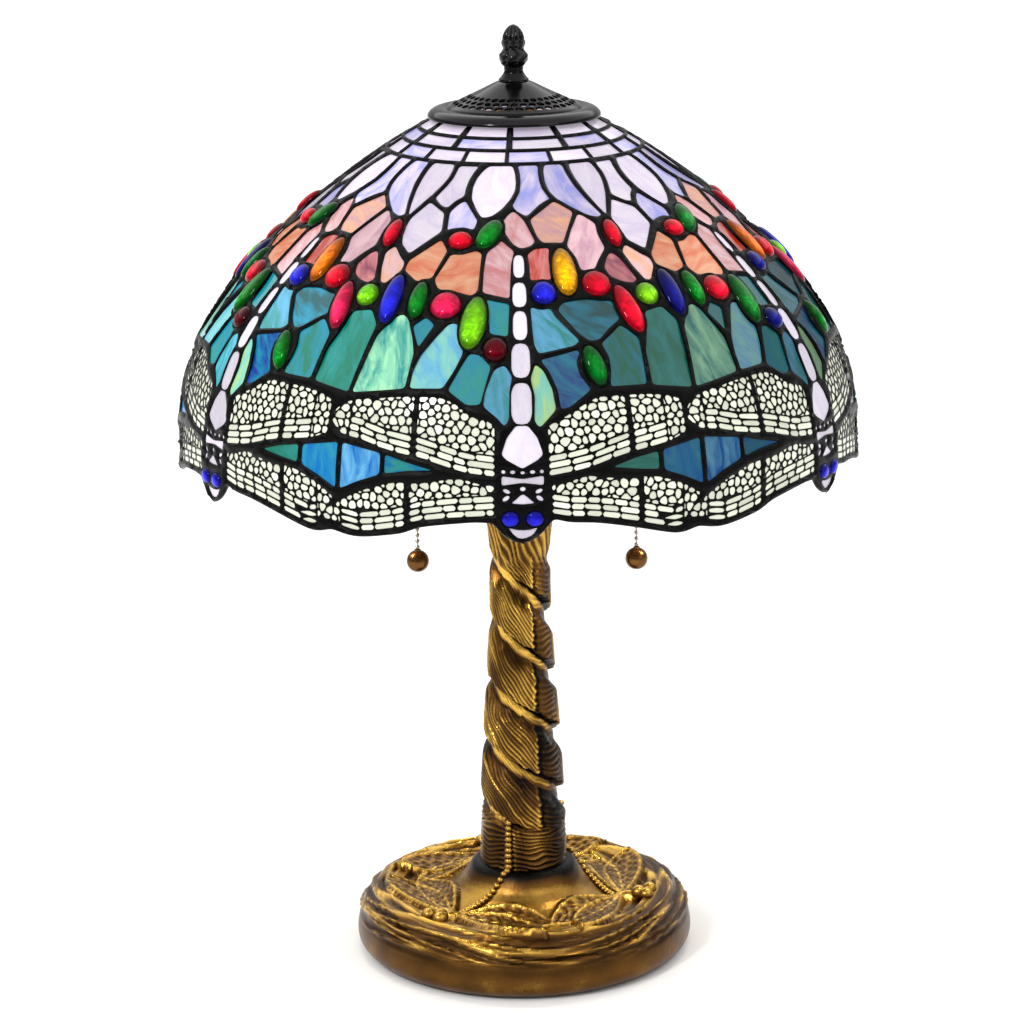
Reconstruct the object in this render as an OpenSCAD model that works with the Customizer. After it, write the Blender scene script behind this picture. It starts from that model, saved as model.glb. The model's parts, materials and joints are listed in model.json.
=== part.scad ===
// Stained glass table lamp: leaded dome shade over a two-light cluster,
// on a tree-trunk post and a round cast foot. Millimetres, +Z up,
// origin at the middle of the foot's underside, front towards -Y.

/* [Overall] */
// Height from the table to the tip of the finial
overall_h = 635; // [625:1:650]
// Rotation of the dragonflies about the axis, in degrees
pattern_turn = 0.6; // [-5:0.1:5]

/* [Foot] */
// Largest radius of the cast foot
foot_r = 115.5; // [112:0.5:120]
// Height of the foot's raised ring
foot_shoulder_h = 40; // [36:1:42]
// Height of the foot's hub, where the post stands
foot_hub_h = 62; // [60:1:66]
// Wall thickness of the castings
cast_wall = 5; // [4:0.5:6]
// Radius of the cord inlet's bore
inlet_bore_r = 3.5; // [3:0.1:4]

/* [Post] */
// Radius of the post at the foot
post_foot_r = 30.5; // [28:0.5:32]
// Radius of the post at its slimmest
post_waist_r = 17; // [16:0.5:20]
// Height of the post's top edge
post_top_z = 350; // [340:1:355]
// Outer radius of the lamp pipe
pipe_r = 4.86; // [4.5:0.01:5]

/* [Light cluster] */
// Height of the sockets' axis
socket_z = 400; // [395:1:410]
// Distance from the lamp's axis to the left pull chain
left_chain_x = 69; // [66:0.5:75]
// Distance from the lamp's axis to the right pull chain
right_chain_x = 79; // [70:0.5:80]
// Height of the pull balls' centres
pull_ball_z = 274; // [268:1:285]
// Radius of the pull balls
pull_ball_r = 7.6; // [6:0.1:8]

/* [Shade] */
// Radius of the dome's surface where the glass starts
crown_r = 59; // [58:0.5:60]
// Height of the dome's surface there
crown_z = 570.5; // [569:0.5:572]
// Slope of the dome at the crown, in degrees
crown_slope = 29.3; // [28:0.1:32]
// Slope of the dome where its two arcs meet, in degrees
shoulder_slope = 48; // [46:0.5:50]
// Radius of the upper arc
upper_arc_r = 498; // [480:1:520]
// Radius of the lower arc
lower_arc_r = 154.5; // [150:0.5:160]
// Number of dragonflies round the shade
dragonflies = 6; // [6:1:6]
// Thickness of the glass
glass_t = 3; // [2.5:0.1:3.2]
// Radius of the solder seams
seam_r = 1.7; // [1.5:0.1:1.8]

/* [Hidden] */
$fn = 48;

// Finishes
bronze = [0.55, 0.40, 0.12];
dark_bronze = [0.13, 0.12, 0.11];
brass = [0.72, 0.56, 0.28];
steel = [0.62, 0.63, 0.65];
solder = [0.08, 0.08, 0.08];

// ---------- shared geometry ----------

// Arc lengths of the dome's two arcs, from the crown down
upper_arc_len = upper_arc_r * (shoulder_slope - crown_slope) * PI / 180;
lower_arc_len = lower_arc_r * (90 - shoulder_slope) * PI / 180;
shoulder_r = crown_r + upper_arc_r * (sin(shoulder_slope) - sin(crown_slope));
shoulder_z = crown_z - upper_arc_r * (cos(crown_slope) - cos(shoulder_slope));
skirt_r = shoulder_r + lower_arc_r * (1 - sin(shoulder_slope));
skirt_z = shoulder_z - lower_arc_r * cos(shoulder_slope);

// Slope of the dome's surface at arc length s from the crown, in degrees
function dome_slope(s) =
    s < 0 ? crown_slope :
    s < upper_arc_len ? crown_slope + s / upper_arc_r * 180 / PI :
    min(90, shoulder_slope + (s - upper_arc_len) / lower_arc_r * 180 / PI);

// [radius, height] of the dome's surface at arc length s from the crown
function dome(s) =
    s < 0 ? [crown_r + s * cos(crown_slope), crown_z - s * sin(crown_slope)] :
    s < upper_arc_len ?
        [crown_r + upper_arc_r * (sin(dome_slope(s)) - sin(crown_slope)),
         crown_z - upper_arc_r * (cos(crown_slope) - cos(dome_slope(s)))] :
    s < upper_arc_len + lower_arc_len ?
        [shoulder_r + lower_arc_r * (sin(dome_slope(s)) - sin(shoulder_slope)),
         shoulder_z - lower_arc_r * (cos(shoulder_slope) - cos(dome_slope(s)))] :
    [skirt_r, skirt_z - (s - upper_arc_len - lower_arc_len)];

// Point on the dome at arc length s and angle a from the front, counted towards +X
function dome_point(s, a) =
    let (p = dome(s), t = a + pattern_turn - 90)
    [p[0] * cos(t), p[0] * sin(t), p[1]];

// A tube round the Z axis
module tube(outer_r, inner_r, z0, z1) {
    translate([0, 0, z0])
        difference() {
            cylinder(r = outer_r, h = z1 - z0);
            translate([0, 0, -1])
                cylinder(r = inner_r, h = z1 - z0 + 2);
        }
}

// A round bar from point a to point b, shortened by trim at each end
module bar(a, b, r, trim = 0) {
    d = b - a;
    len = norm(d);
    translate(a)
        rotate([0, acos(d[2] / len), atan2(d[1], d[0])])
            translate([0, 0, trim])
                cylinder(r = r, h = len - 2 * trim, $fn = 24);
}

// ---------- foot ----------

// Height of the foot's widest place, and how far its rim draws in below and above it
rim_z = 12;
rim_under = 12.5;
rim_inset = 20;

// Half section of the foot, moved outwards by grow
module foot_outline(grow = 0) {
    polygon(concat(
        [[0, 1 - grow]],
        // rim below its widest place
        [for (a = [-90 : 15 : -15])
            [foot_r - rim_under + (rim_under + grow) * cos(a), rim_z + (rim_z - 1 + grow) * sin(a)]],
        // rim up to the raised ring
        [for (a = [0 : 15 : 90])
            [foot_r - rim_inset + (rim_inset + grow) * cos(a),
             rim_z + (foot_shoulder_h - rim_z + grow) * sin(a)]],
        // dish, rising to the hub
        [[84, foot_shoulder_h - 2 + grow], [70, foot_shoulder_h - 5 + grow],
         [58, foot_shoulder_h - 2 + grow], [48, foot_shoulder_h + 4 + grow],
         [40, foot_hub_h - 9 + grow], [35 + grow, foot_hub_h + grow], [0, foot_hub_h + grow]]));
}

pad_r = foot_r - 16.5;

module foot_casting() {
    color(bronze)
        difference() {
            rotate_extrude($fn = 96)
                foot_outline();
            difference() {
                rotate_extrude($fn = 96)
                    foot_outline(-cast_wall);
                translate([0, 0, foot_hub_h - 9])
                    cylinder(r = 22, h = 20);
            }
            translate([0, 0, -1])
                cylinder(r = pad_r + 0.5, h = 8, $fn = 96);
            translate([0, 0, foot_hub_h - 20])
                cylinder(r = pipe_r + 0.3, h = 40);
            translate([0, foot_r + 10, inlet_z])
                rotate([90, 0, 0])
                    cylinder(r = bushing_r + 0.1, h = 30);
        }
}

module foot_weight() {
    color(steel)
        tube(foot_r - 26, 14, 3.3, 13.3);
}

module felt_pad() {
    color([0.10, 0.25, 0.14])
        cylinder(r = pad_r, h = 3, $fn = 96);
}

bushing_r = 6.3;
inlet_z = 16;
bushing_len = 17;

module cord_bushing() {
    color([0.08, 0.08, 0.08])
        translate([0, foot_r + 2.6, inlet_z])
            rotate([90, 0, 0])
                difference() {
                    union() {
                        cylinder(r = bushing_r, h = bushing_len);
                        cylinder(r = bushing_r + 2, h = 2.2);
                    }
                    translate([0, 0, -1])
                        cylinder(r = inlet_bore_r, h = bushing_len + 2);
                }
}

// ---------- pipe and post ----------

pipe_foot_z = foot_hub_h - 22;
pipe_top_z = socket_z + 6;
pipe_bore_r = 3.4;

module pipe_nut() {
    color(brass)
        translate([0, 0, foot_hub_h - 9 - 1.8 - 5])
            difference() {
                cylinder(r = 8.6, h = 5, $fn = 6);
                translate([0, 0, -1])
                    cylinder(r = pipe_r + 0.05, h = 7);
            }
}

module lock_washer() {
    color(steel)
        tube(10, pipe_r + 0.2, foot_hub_h - 9 - 1.7, foot_hub_h - 9 - 0.1);
}

module lamp_pipe() {
    color(steel)
        tube(pipe_r, pipe_bore_r, pipe_foot_z, pipe_top_z);
}

module supply_wires() {
    color([0.15, 0.12, 0.10])
        for (side = [-1, 1])
            translate([side * 1.45, 0, pipe_foot_z - 12])
                cylinder(r = 1.3, h = pipe_top_z + 5 - (pipe_foot_z - 12), $fn = 24);
}

module post_casting() {
    color(bronze)
        difference() {
            rotate_extrude($fn = 72)
                polygon([[pipe_r + 0.4, foot_hub_h + 0.1], [post_foot_r, foot_hub_h + 0.1],
                         [post_foot_r, 75], [post_foot_r - 2, 100], [post_foot_r - 5, 140],
                         [post_waist_r + 3, 200], [post_waist_r, 255], [post_waist_r, 280],
                         [post_waist_r + 5, 306], [post_waist_r + 6, 322],
                         [post_waist_r + 6, post_top_z], [pipe_r + 0.4, post_top_z]]);
            // core of the hollow casting, open at the foot
            translate([0, 0, foot_hub_h - 1])
                cylinder(r1 = post_foot_r - cast_wall - 1, r2 = post_waist_r - cast_wall, h = 150);
        }
}

module post_cap() {
    color(dark_bronze)
        rotate_extrude($fn = 72)
            polygon([[pipe_r + 0.1, post_top_z + 0.1], [post_waist_r + 7, post_top_z + 0.1],
                     [post_waist_r + 7, post_top_z + 3], [post_waist_r, post_top_z + 8],
                     [10, post_top_z + 14], [9, post_top_z + 24],
                     [pipe_r + 0.1, post_top_z + 24]]);
}

// ---------- light cluster ----------

cluster_r = 22;
cluster_h = 30;
nipple_r = 4.6;
// Distance along a socket from the back of its cap to its chain outlet
outlet_reach = 25;
shell_r = 17.4;
housing_r = 15;
outlet_tip = 27;
left_socket_x = left_chain_x - outlet_reach;
right_socket_x = right_chain_x - outlet_reach;

module cluster_body() {
    color(dark_bronze)
        difference() {
            translate([0, 0, socket_z - cluster_h / 2])
                cylinder(r = cluster_r, h = cluster_h, $fn = 72);
            translate([0, 0, socket_z - cluster_h / 2 + 3])
                cylinder(r = cluster_r - 3, h = cluster_h, $fn = 72);
            translate([0, 0, socket_z - cluster_h])
                cylinder(r = pipe_r + 0.05, h = cluster_h);
            translate([-cluster_r - 1, 0, socket_z])
                rotate([0, 90, 0])
                    cylinder(r = nipple_r + 0.05, h = 2 * cluster_r + 2);
        }
}

module cluster_cover() {
    cover_z = socket_z + cluster_h / 2 + 0.1;
    color(dark_bronze)
        rotate_extrude($fn = 72)
            polygon([[pipe_r + 0.05, cover_z], [cluster_r, cover_z], [cluster_r, cover_z + 2],
                     [cluster_r - 6, cover_z + 8], [9, cover_z + 12], [8, cover_z + 20],
                     [pipe_r + 0.05, cover_z + 20]]);
}

module wire_nuts() {
    color([0.85, 0.45, 0.10])
        for (side = [-1, 1])
            translate([0, side * 12, socket_z - 6])
                cylinder(r1 = 4, r2 = 2.6, h = 14, $fn = 24);
}

// Places a socket's parts, drawn along +Z from the back of the cap, pointing outwards along X
module along_socket(side, back_x) {
    translate([side * back_x, 0, socket_z])
        rotate([0, side * 90, 0])
            rotate([0, 0, side > 0 ? 0 : 180])
                children();
}

// Turns a shape drawn along +Z so that it points straight down from the socket's axis
module outlet_frame() {
    translate([0, 0, outlet_reach])
        rotate([0, 90, 0])
            children();
}

module nipple(back_x) {
    color(brass)
        translate([0, 0, -(back_x - cluster_r + 6)])
            difference() {
                cylinder(r = nipple_r, h = back_x - cluster_r + 9.5);
                translate([0, 0, -1])
                    cylinder(r = 3, h = back_x + 10);
            }
}

module socket_cap() {
    color(brass)
        difference() {
            rotate_extrude($fn = 72)
                polygon([[nipple_r + 0.05, 0], [9, 0], [14, 4], [shell_r, 10], [shell_r, 13],
                         [shell_r - 1.2, 13], [shell_r - 1.2, 10.5], [13, 5.2], [8.6, 1.4],
                         [nipple_r + 0.05, 1.4]]);
        }
}

module socket_shell() {
    color(brass)
        difference() {
            tube(shell_r, shell_r - 0.9, 13.2, 62);
            outlet_frame()
                cylinder(r = 3.7, h = 30);
        }
}

module socket_liner() {
    color([0.20, 0.17, 0.14])
        difference() {
            tube(shell_r - 1.1, housing_r + 0.1, 13.4, 61);
            outlet_frame()
                cylinder(r = 3.7, h = 30);
        }
}

// Radius at which the chain winds on the switch's lever, and the lever's width
lever_wind_r = 5.5;
lever_w = 4;
lever_reach = outlet_reach - lever_wind_r;

module switch_housing() {
    color([0.12, 0.10, 0.09])
        difference() {
            translate([0, 0, 11])
                cylinder(r = housing_r, h = 24);
            // pocket for the lever
            translate([-6, -lever_w / 2 - 0.4, lever_reach - 6])
                cube([12, lever_w + 0.8, 12]);
            // chain passage down to the outlet
            outlet_frame()
                cylinder(r = 3.4, h = 30);
            // pivot hole of the lever
            translate([0, 8, lever_reach])
                rotate([90, 0, 0])
                    cylinder(r = 1.65, h = 16);
        }
}

module screw_shell() {
    color(steel)
        difference() {
            tube(14.3, 13.4, 35.2, 60);
            translate([0, 0, 34])
                cylinder(r = 2, h = 1);
        }
}

module centre_contact() {
    color(brass)
        translate([0, 0, 35.2])
            cylinder(r = 4, h = 1.2);
}

module chain_outlet() {
    color(brass)
        outlet_frame()
            rotate_extrude()
                polygon([[2.1, 15.3], [3.2, 15.3], [3.2, 22], [4.6, outlet_tip - 1],
                         [4.4, outlet_tip], [3.6, outlet_tip], [2.1, 22]]);
}

module switch_lever() {
    color([0.80, 0.78, 0.70])
        translate([0, 0, lever_reach])
            rotate([90, 0, 0])
                union() {
                    translate([0, 0, -lever_w / 2])
                        difference() {
                            cylinder(r = lever_wind_r - 0.9, h = lever_w);
                            // flat that carries the moving contact
                            translate([-6, 2.6, -1])
                                cube([12, 4, lever_w + 2]);
                        }
                    translate([0, 0, -7])
                        cylinder(r = 1.6, h = 14, $fn = 24);
                }
}

module bulb_base() {
    color(steel)
        union() {
            translate([0, 0, 40])
                cylinder(r = 12.9, h = 22);
            translate([0, 0, 37.2])
                cylinder(r1 = 5, r2 = 9, h = 2.8);
        }
}

module bulb_glass() {
    color([1.0, 0.97, 0.88])
        rotate_extrude($fn = 72)
            polygon(concat([[0, 62.2], [12.6, 62.2], [13.2, 68], [18, 82]],
                           [for (a = [-25 : 11.5 : 90]) [24 * cos(a), 103 + 24 * sin(a)]]));
}

bead_r = 1.5;
bead_pitch = 4.2;
chain_foot_z = pull_ball_z + pull_ball_r + 0.6 + bead_r;
bead_count = floor((socket_z - outlet_tip - chain_foot_z) / bead_pitch) + 1;
link_z = chain_foot_z + bead_count * bead_pitch;

// First bead and its wire, held in the outlet
module pull_link(chain_x, side) {
    color(brass)
        translate([side * chain_x, 0, link_z])
            union() {
                sphere(r = bead_r, $fn = 24);
                cylinder(r = 0.5, h = socket_z - 1 - link_z, $fn = 24);
            }
}

module bead_chain(chain_x, side) {
    color(brass)
        translate([side * chain_x, 0, chain_foot_z])
            union() {
                for (i = [0 : bead_count - 1])
                    translate([0, 0, i * bead_pitch])
                        sphere(r = bead_r, $fn = 24);
                cylinder(r = 0.5, h = (bead_count - 1) * bead_pitch, $fn = 24);
            }
}

module pull_ball(chain_x, side) {
    color(bronze)
        translate([side * chain_x, 0, pull_ball_z])
            difference() {
                union() {
                    sphere(r = pull_ball_r, $fn = 48);
                    cylinder(r = 2.2, h = pull_ball_r + 0.5, $fn = 24);
                }
                translate([0, 0, pull_ball_r - 2])
                    cylinder(r = 1, h = 4, $fn = 24);
            }
}

// ---------- riser, crown and cap ----------

riser_foot_z = socket_z + cluster_h / 2 + 2;
riser_top_z = overall_h - 24;
spider_z = crown_z - 14;
// Rolled edge of the heat cap: its outer radius, its own radius and its height
cap_r = 59.5;
cap_roll = 7.5;
cap_roll_z = crown_z + 7.5;
cap_top_z = 598.5;
cap_wall = 1.5;

module riser_pipe() {
    color(steel)
        tube(pipe_r, pipe_bore_r, riser_foot_z, riser_top_z);
}

module shade_spider() {
    arms = 3;
    ring_r = 44;
    color(brass)
        union() {
            tube(10, pipe_r + 0.05, spider_z - 3, spider_z + 5);
            tube(ring_r + 2.5, ring_r - 2.5, spider_z, spider_z + 3);
            for (i = [0 : arms - 1])
                rotate([0, 0, 90 + i * 360 / arms])
                    translate([9, -3.5, spider_z])
                        cube([ring_r - 10, 7, 3]);
        }
}

module spider_nut() {
    color(brass)
        translate([0, 0, spider_z - 8.2])
            difference() {
                cylinder(r = 8.6, h = 5, $fn = 6);
                translate([0, 0, -1])
                    cylinder(r = pipe_r + 0.05, h = 7);
            }
}

module crown_ring() {
    color(brass)
        rotate_extrude($fn = 96)
            polygon([[39, spider_z + 3.3], [46, spider_z + 3.3], [46, spider_z + 12],
                     [50, spider_z + 14.2], [49, spider_z + 16.2], [44, spider_z + 13.5],
                     [43.5, spider_z + 5], [39, spider_z + 5]]);
}

module heat_cap() {
    vents = 24;
    roll_c = cap_r - cap_roll;
    color(dark_bronze)
        difference() {
            rotate_extrude($fn = 96)
                polygon(concat(
                    [[pipe_r + 0.4, cap_top_z], [10, cap_top_z]],
                    [for (a = [100 : -20 : 0])
                        [roll_c + cap_roll * cos(a), cap_roll_z + cap_roll * sin(a)]],
                    [[cap_r, cap_roll_z - 2.4], [cap_r - cap_wall, cap_roll_z - 2.4]],
                    [for (a = [0 : 20 : 100])
                        [roll_c + (cap_roll - cap_wall) * cos(a),
                         cap_roll_z + (cap_roll - cap_wall) * sin(a)]],
                    [[10, cap_top_z - cap_wall], [pipe_r + 0.4, cap_top_z - cap_wall]]));
            for (i = [0 : vents - 1], row = [0 : 1])
                rotate([0, 0, (i + row / 2) * 360 / vents])
                    translate([27 + row * 8, 0, 570])
                        cylinder(r = 1.8 + row * 0.3, h = 30, $fn = 24);
        }
}

module finial() {
    z0 = cap_top_z + 0.3;
    color(dark_bronze)
        difference() {
            rotate_extrude()
                polygon([[0, z0], [10, z0], [10, z0 + 1.2], [7, z0 + 5], [5.8, z0 + 8],
                         [7, z0 + 11], [9.2, z0 + 14], [9, z0 + 17], [6.3, z0 + 20.4],
                         [7, z0 + 24], [7, z0 + 26.5], [5.4, z0 + 30.5],
                         [3, overall_h - 1.5], [0, overall_h]]);
            translate([0, 0, z0 - 1])
                cylinder(r = pipe_r + 0.08, h = riser_top_z - z0 + 2);
        }
}

// ---------- leaded glass ----------

cell = 360 / dragonflies;
// Room that a pane leaves for the seam at its edge
pane_inset = seam_r + 0.5;

// One flat pane between arc lengths s0 and s1 and angles a0 and a1.
// Its top edge is a chord, so it also keeps the chord's sag from the ring above.
module pane(s0, s1, a0, a1, t = glass_t) {
    half = (a1 - a0) / 2;
    sag = dome(s0)[0] * (1 - cos(half)) * cos(dome_slope(s0));
    top = dome(s0 + pane_inset + sag);
    foot = dome(s1 - pane_inset);
    run = (foot[0] - top[0]) * cos(half);
    length = norm([run, foot[1] - top[1]]);
    top_w = top[0] * sin(half) - pane_inset;
    foot_w = foot[0] * sin(half) - pane_inset;
    rotate([0, 0, (a0 + a1) / 2 + pattern_turn - 90])
        translate([top[0] * cos(half), 0, top[1]])
            rotate([0, atan2(top[1] - foot[1], run), 0])
                translate([0, 0, -t / 2])
                    linear_extrude(height = t)
                        polygon([[0, -top_w], [length, -foot_w], [length, foot_w], [0, top_w]]);
}

// count equal panes from angle a0 to a1
module pane_row(s0, s1, a0, a1, count) {
    step = (a1 - a0) / count;
    for (i = [0 : count - 1])
        pane(s0, s1, a0 + i * step, a0 + (i + 1) * step);
}

// Straight seam along a meridian
module rib(s0, s1, a) {
    bar(dome_point(s0, a), dome_point(s1, a), seam_r, seam_r + 0.3);
}

// Ring seam round the whole dome
module ring_seam(s) {
    p = dome(s);
    rotate_extrude($fn = 96)
        translate([p[0], p[1]])
            circle(r = seam_r, $fn = 24);
}

// Arc lengths of the rows' seams, from the crown to the rim
brick_s = [-9, 4, 16, 28];
brick_counts = [12, 12, 18];
petal_s = [28, 76];
coral_s = [76, 126];
setting_s = [126, 150];
teal_s = [150, 176, 202];
upper_wing_s = [202, 239];
gap_s = [239, 253];
lower_wing_s = [253, 285];
chin_s = 293;
// Arc lengths of the joints of a tail, and of its thorax, neck and head
tail_s = [76, 104, 126, 150, 176, 202];
head_s = [202, 239, 253, 273, chin_s];
// Half angles of the tail and of the head
tail_half = 2;
head_half = 3.6;

module crown_glass() {
    color([0.80, 0.80, 0.95])
        for (row = [0 : 2])
            pane_row(brick_s[row], brick_s[row + 1], -4, 356, brick_counts[row]);
}

module petal_glass() {
    color([0.86, 0.85, 0.97])
        pane_row(petal_s[0], petal_s[1], 0, 360, 3 * dragonflies);
}

// count panes in each cell, between the dragonflies' bodies
module cell_panes(s0, s1, body_half, count) {
    for (k = [0 : dragonflies - 1])
        pane_row(s0, s1, k * cell + body_half, (k + 1) * cell - body_half, count);
}

module coral_glass() {
    color([0.90, 0.62, 0.52])
        cell_panes(coral_s[0], coral_s[1], tail_half, 4);
}

module jewel_setting() {
    color(solder)
        cell_panes(setting_s[0], setting_s[1], tail_half, 4);
}

// [angle, arc length, radius] of the cabochons in one cell
jewel_places = [[5.1, 135.5, 7.8], [10.3, 120, 7.5], [16.7, 131, 8.5], [22, 150.5, 7],
                [27.2, 141.5, 7.5], [33.1, 142, 6.6], [38.9, 142, 5.9], [45, 145, 8.5],
                [51.1, 156.6, 8], [55.5, 175, 7], [25.4, 93, 5.3], [45.1, 96, 6.7],
                [52.5, 90, 7], [12.9, 187, 6.5]];

module jewels() {
    color([0.80, 0.05, 0.15])
        for (k = [0 : dragonflies - 1], j = jewel_places) {
            p = dome(j[1]);
            rotate([0, 0, k * cell + j[0] + pattern_turn - 90])
                translate([p[0], 0, p[1]])
                    rotate([0, dome_slope(j[1]), 0])
                        translate([0, 0, glass_t / 2 + 0.5])
                            cylinder(r1 = j[2], r2 = j[2] - 3, h = 4.5);
        }
}

module teal_glass() {
    color([0.15, 0.50, 0.50]) {
        cell_panes(teal_s[0], teal_s[1], tail_half, 3);
        cell_panes(teal_s[1], teal_s[2], tail_half, 4);
    }
}

module wing_glass() {
    color([0.90, 0.90, 0.78]) {
        cell_panes(upper_wing_s[0], upper_wing_s[1], head_half, 4);
        cell_panes(lower_wing_s[0], lower_wing_s[1], head_half, 4);
    }
}

module wing_gap_glass() {
    color([0.20, 0.48, 0.62])
        cell_panes(gap_s[0], gap_s[1], head_half, 4);
}

module dragonfly_bodies() {
    color([0.93, 0.88, 0.95])
        for (k = [0 : dragonflies - 1]) {
            for (i = [0 : len(tail_s) - 2])
                pane(tail_s[i], tail_s[i + 1], k * cell - tail_half, k * cell + tail_half);
            for (i = [0 : len(head_s) - 2])
                pane(head_s[i], head_s[i + 1], k * cell - head_half, k * cell + head_half);
        }
}

module dragonfly_eyes() {
    eye_s = 276;
    eye_half = 1.75;
    p = dome(eye_s);
    color([0.10, 0.08, 0.60])
        for (k = [0 : dragonflies - 1], side = [-1, 1])
            rotate([0, 0, k * cell + side * eye_half + pattern_turn - 90])
                translate([p[0], 0, p[1]])
                    rotate([0, dome_slope(eye_s), 0])
                        translate([0, 0, glass_t / 2 + 0.5])
                            cylinder(r1 = 5.8, r2 = 3.4, h = 3.6, $fn = 32);
}

module seam_rings() {
    color(solder)
        for (s = [brick_s[1], brick_s[2], brick_s[3], coral_s[0], setting_s[0], teal_s[0],
                  teal_s[1], upper_wing_s[0], gap_s[0], gap_s[1]])
            ring_seam(s);
}

// Seams down both sides of a body and between the count panes of a cell
module cell_ribs(s0, s1, body_half, count) {
    for (k = [0 : dragonflies - 1], i = [0 : count])
        rib(s0, s1, k * cell + body_half + i * (cell - 2 * body_half) / count);
}

module seam_ribs() {
    color(solder) {
        for (row = [0 : 2], i = [0 : brick_counts[row] - 1])
            rib(brick_s[row], brick_s[row + 1], -4 + i * 360 / brick_counts[row]);
        for (i = [0 : 3 * dragonflies - 1])
            rib(petal_s[0], petal_s[1], i * cell / 3);
        for (s = [coral_s, setting_s])
            cell_ribs(s[0], s[1], tail_half, 4);
        cell_ribs(teal_s[0], teal_s[1], tail_half, 3);
        cell_ribs(teal_s[1], teal_s[2], tail_half, 4);
        for (s = [upper_wing_s, gap_s, lower_wing_s])
            cell_ribs(s[0], s[1], head_half, 4);
    }
}

module rim_wire() {
    edge = cell / 2 - head_half;
    steps = 4;
    color(solder)
        for (k = [0 : dragonflies - 1], side = [-1, 1]) {
            // wings' edge, from the middle of the gap to the head
            for (i = [0 : steps - 1])
                bar(dome_point(lower_wing_s[1], k * cell + side * (head_half + i * edge / steps)),
                    dome_point(lower_wing_s[1],
                               k * cell + side * (head_half + (i + 1) * edge / steps)),
                    1.6, 0.3);
            // chin
            bar(dome_point(lower_wing_s[1], k * cell + side * head_half),
                dome_point(chin_s, k * cell + side * head_half), 1.6, 2.2);
            bar(dome_point(chin_s, k * cell + side * head_half), dome_point(chin_s, k * cell),
                1.6, 0.3);
        }
}

// ---------- nodes ----------

foot_casting();
foot_weight();
felt_pad();
cord_bushing();
pipe_nut();
lock_washer();
lamp_pipe();
supply_wires();
post_casting();
post_cap();
cluster_body();
cluster_cover();
wire_nuts();
for (end = [["left", -1, left_socket_x, left_chain_x], ["right", 1, right_socket_x, right_chain_x]]) {
    along_socket(end[1], end[2]) nipple(end[2]);
    along_socket(end[1], end[2]) socket_cap();
    along_socket(end[1], end[2]) socket_shell();
    along_socket(end[1], end[2]) socket_liner();
    along_socket(end[1], end[2]) switch_housing();
    along_socket(end[1], end[2]) screw_shell();
    along_socket(end[1], end[2]) centre_contact();
    along_socket(end[1], end[2]) chain_outlet();
    along_socket(end[1], end[2]) switch_lever();
    along_socket(end[1], end[2]) bulb_base();
    along_socket(end[1], end[2]) bulb_glass();
    pull_link(end[3], end[1]);
    bead_chain(end[3], end[1]);
    pull_ball(end[3], end[1]);
}
riser_pipe();
shade_spider();
spider_nut();
crown_ring();
heat_cap();
finial();
crown_glass();
petal_glass();
coral_glass();
jewel_setting();
jewels();
teal_glass();
wing_glass();
wing_gap_glass();
dragonfly_bodies();
dragonfly_eyes();
seam_rings();
seam_ribs();
rim_wire();
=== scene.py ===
import json
import math
import random

import bmesh
import bpy
import numpy as np
from mathutils import Matrix, Vector
from mathutils import noise as mnoise
from mathutils.geometry import delaunay_2d_cdt
from mathutils.kdtree import KDTree


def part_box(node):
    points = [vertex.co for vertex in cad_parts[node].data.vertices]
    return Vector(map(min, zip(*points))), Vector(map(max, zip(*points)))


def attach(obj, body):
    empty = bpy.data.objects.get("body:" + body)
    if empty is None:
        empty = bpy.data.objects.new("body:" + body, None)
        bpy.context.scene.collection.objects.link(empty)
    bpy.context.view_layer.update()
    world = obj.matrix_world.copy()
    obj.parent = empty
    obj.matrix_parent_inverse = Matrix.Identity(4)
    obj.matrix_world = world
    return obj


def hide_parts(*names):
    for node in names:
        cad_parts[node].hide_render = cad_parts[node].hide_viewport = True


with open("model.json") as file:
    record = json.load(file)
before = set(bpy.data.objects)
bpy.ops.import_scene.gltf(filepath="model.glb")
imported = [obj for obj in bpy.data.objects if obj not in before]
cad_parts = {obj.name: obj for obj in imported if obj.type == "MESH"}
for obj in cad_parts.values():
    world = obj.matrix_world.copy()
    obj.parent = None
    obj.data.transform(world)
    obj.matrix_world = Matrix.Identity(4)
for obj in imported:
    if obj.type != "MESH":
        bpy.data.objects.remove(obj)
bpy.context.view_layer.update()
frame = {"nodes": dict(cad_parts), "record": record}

MM = 0.001
TAU = 2 * math.pi
CELLS = 6   # dragonfly cells round the shade
CELL = 60   # degrees of one cell


# -------------------------------------------------------- meshes and numbers


def wander(x, y, z):
    """Smooth noise from -1 to 1."""
    return mnoise.noise(Vector((x, y, z)))


def smoothstep(a, b, x):
    t = min(1.0, max(0.0, (x - a) / (b - a)))
    return t * t * (3 - 2 * t)


def make(name, verts, faces, body, material, replaces, sharp=None, smooth=True):
    """A mesh object in metres, in the row frame, riding a body."""
    me = bpy.data.meshes.new(name)
    me.from_pydata([tuple(v) for v in verts], [], [tuple(f) for f in faces])
    me.materials.append(material)
    me.polygons.foreach_set("use_smooth", [smooth] * len(me.polygons))
    me.update()
    if sharp is not None:
        me.set_sharp_from_angle(angle=math.radians(sharp))
    ob = bpy.data.objects.new(name, me)
    bpy.context.scene.collection.objects.link(ob)
    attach(ob, body)
    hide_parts(*replaces)
    return ob


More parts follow.
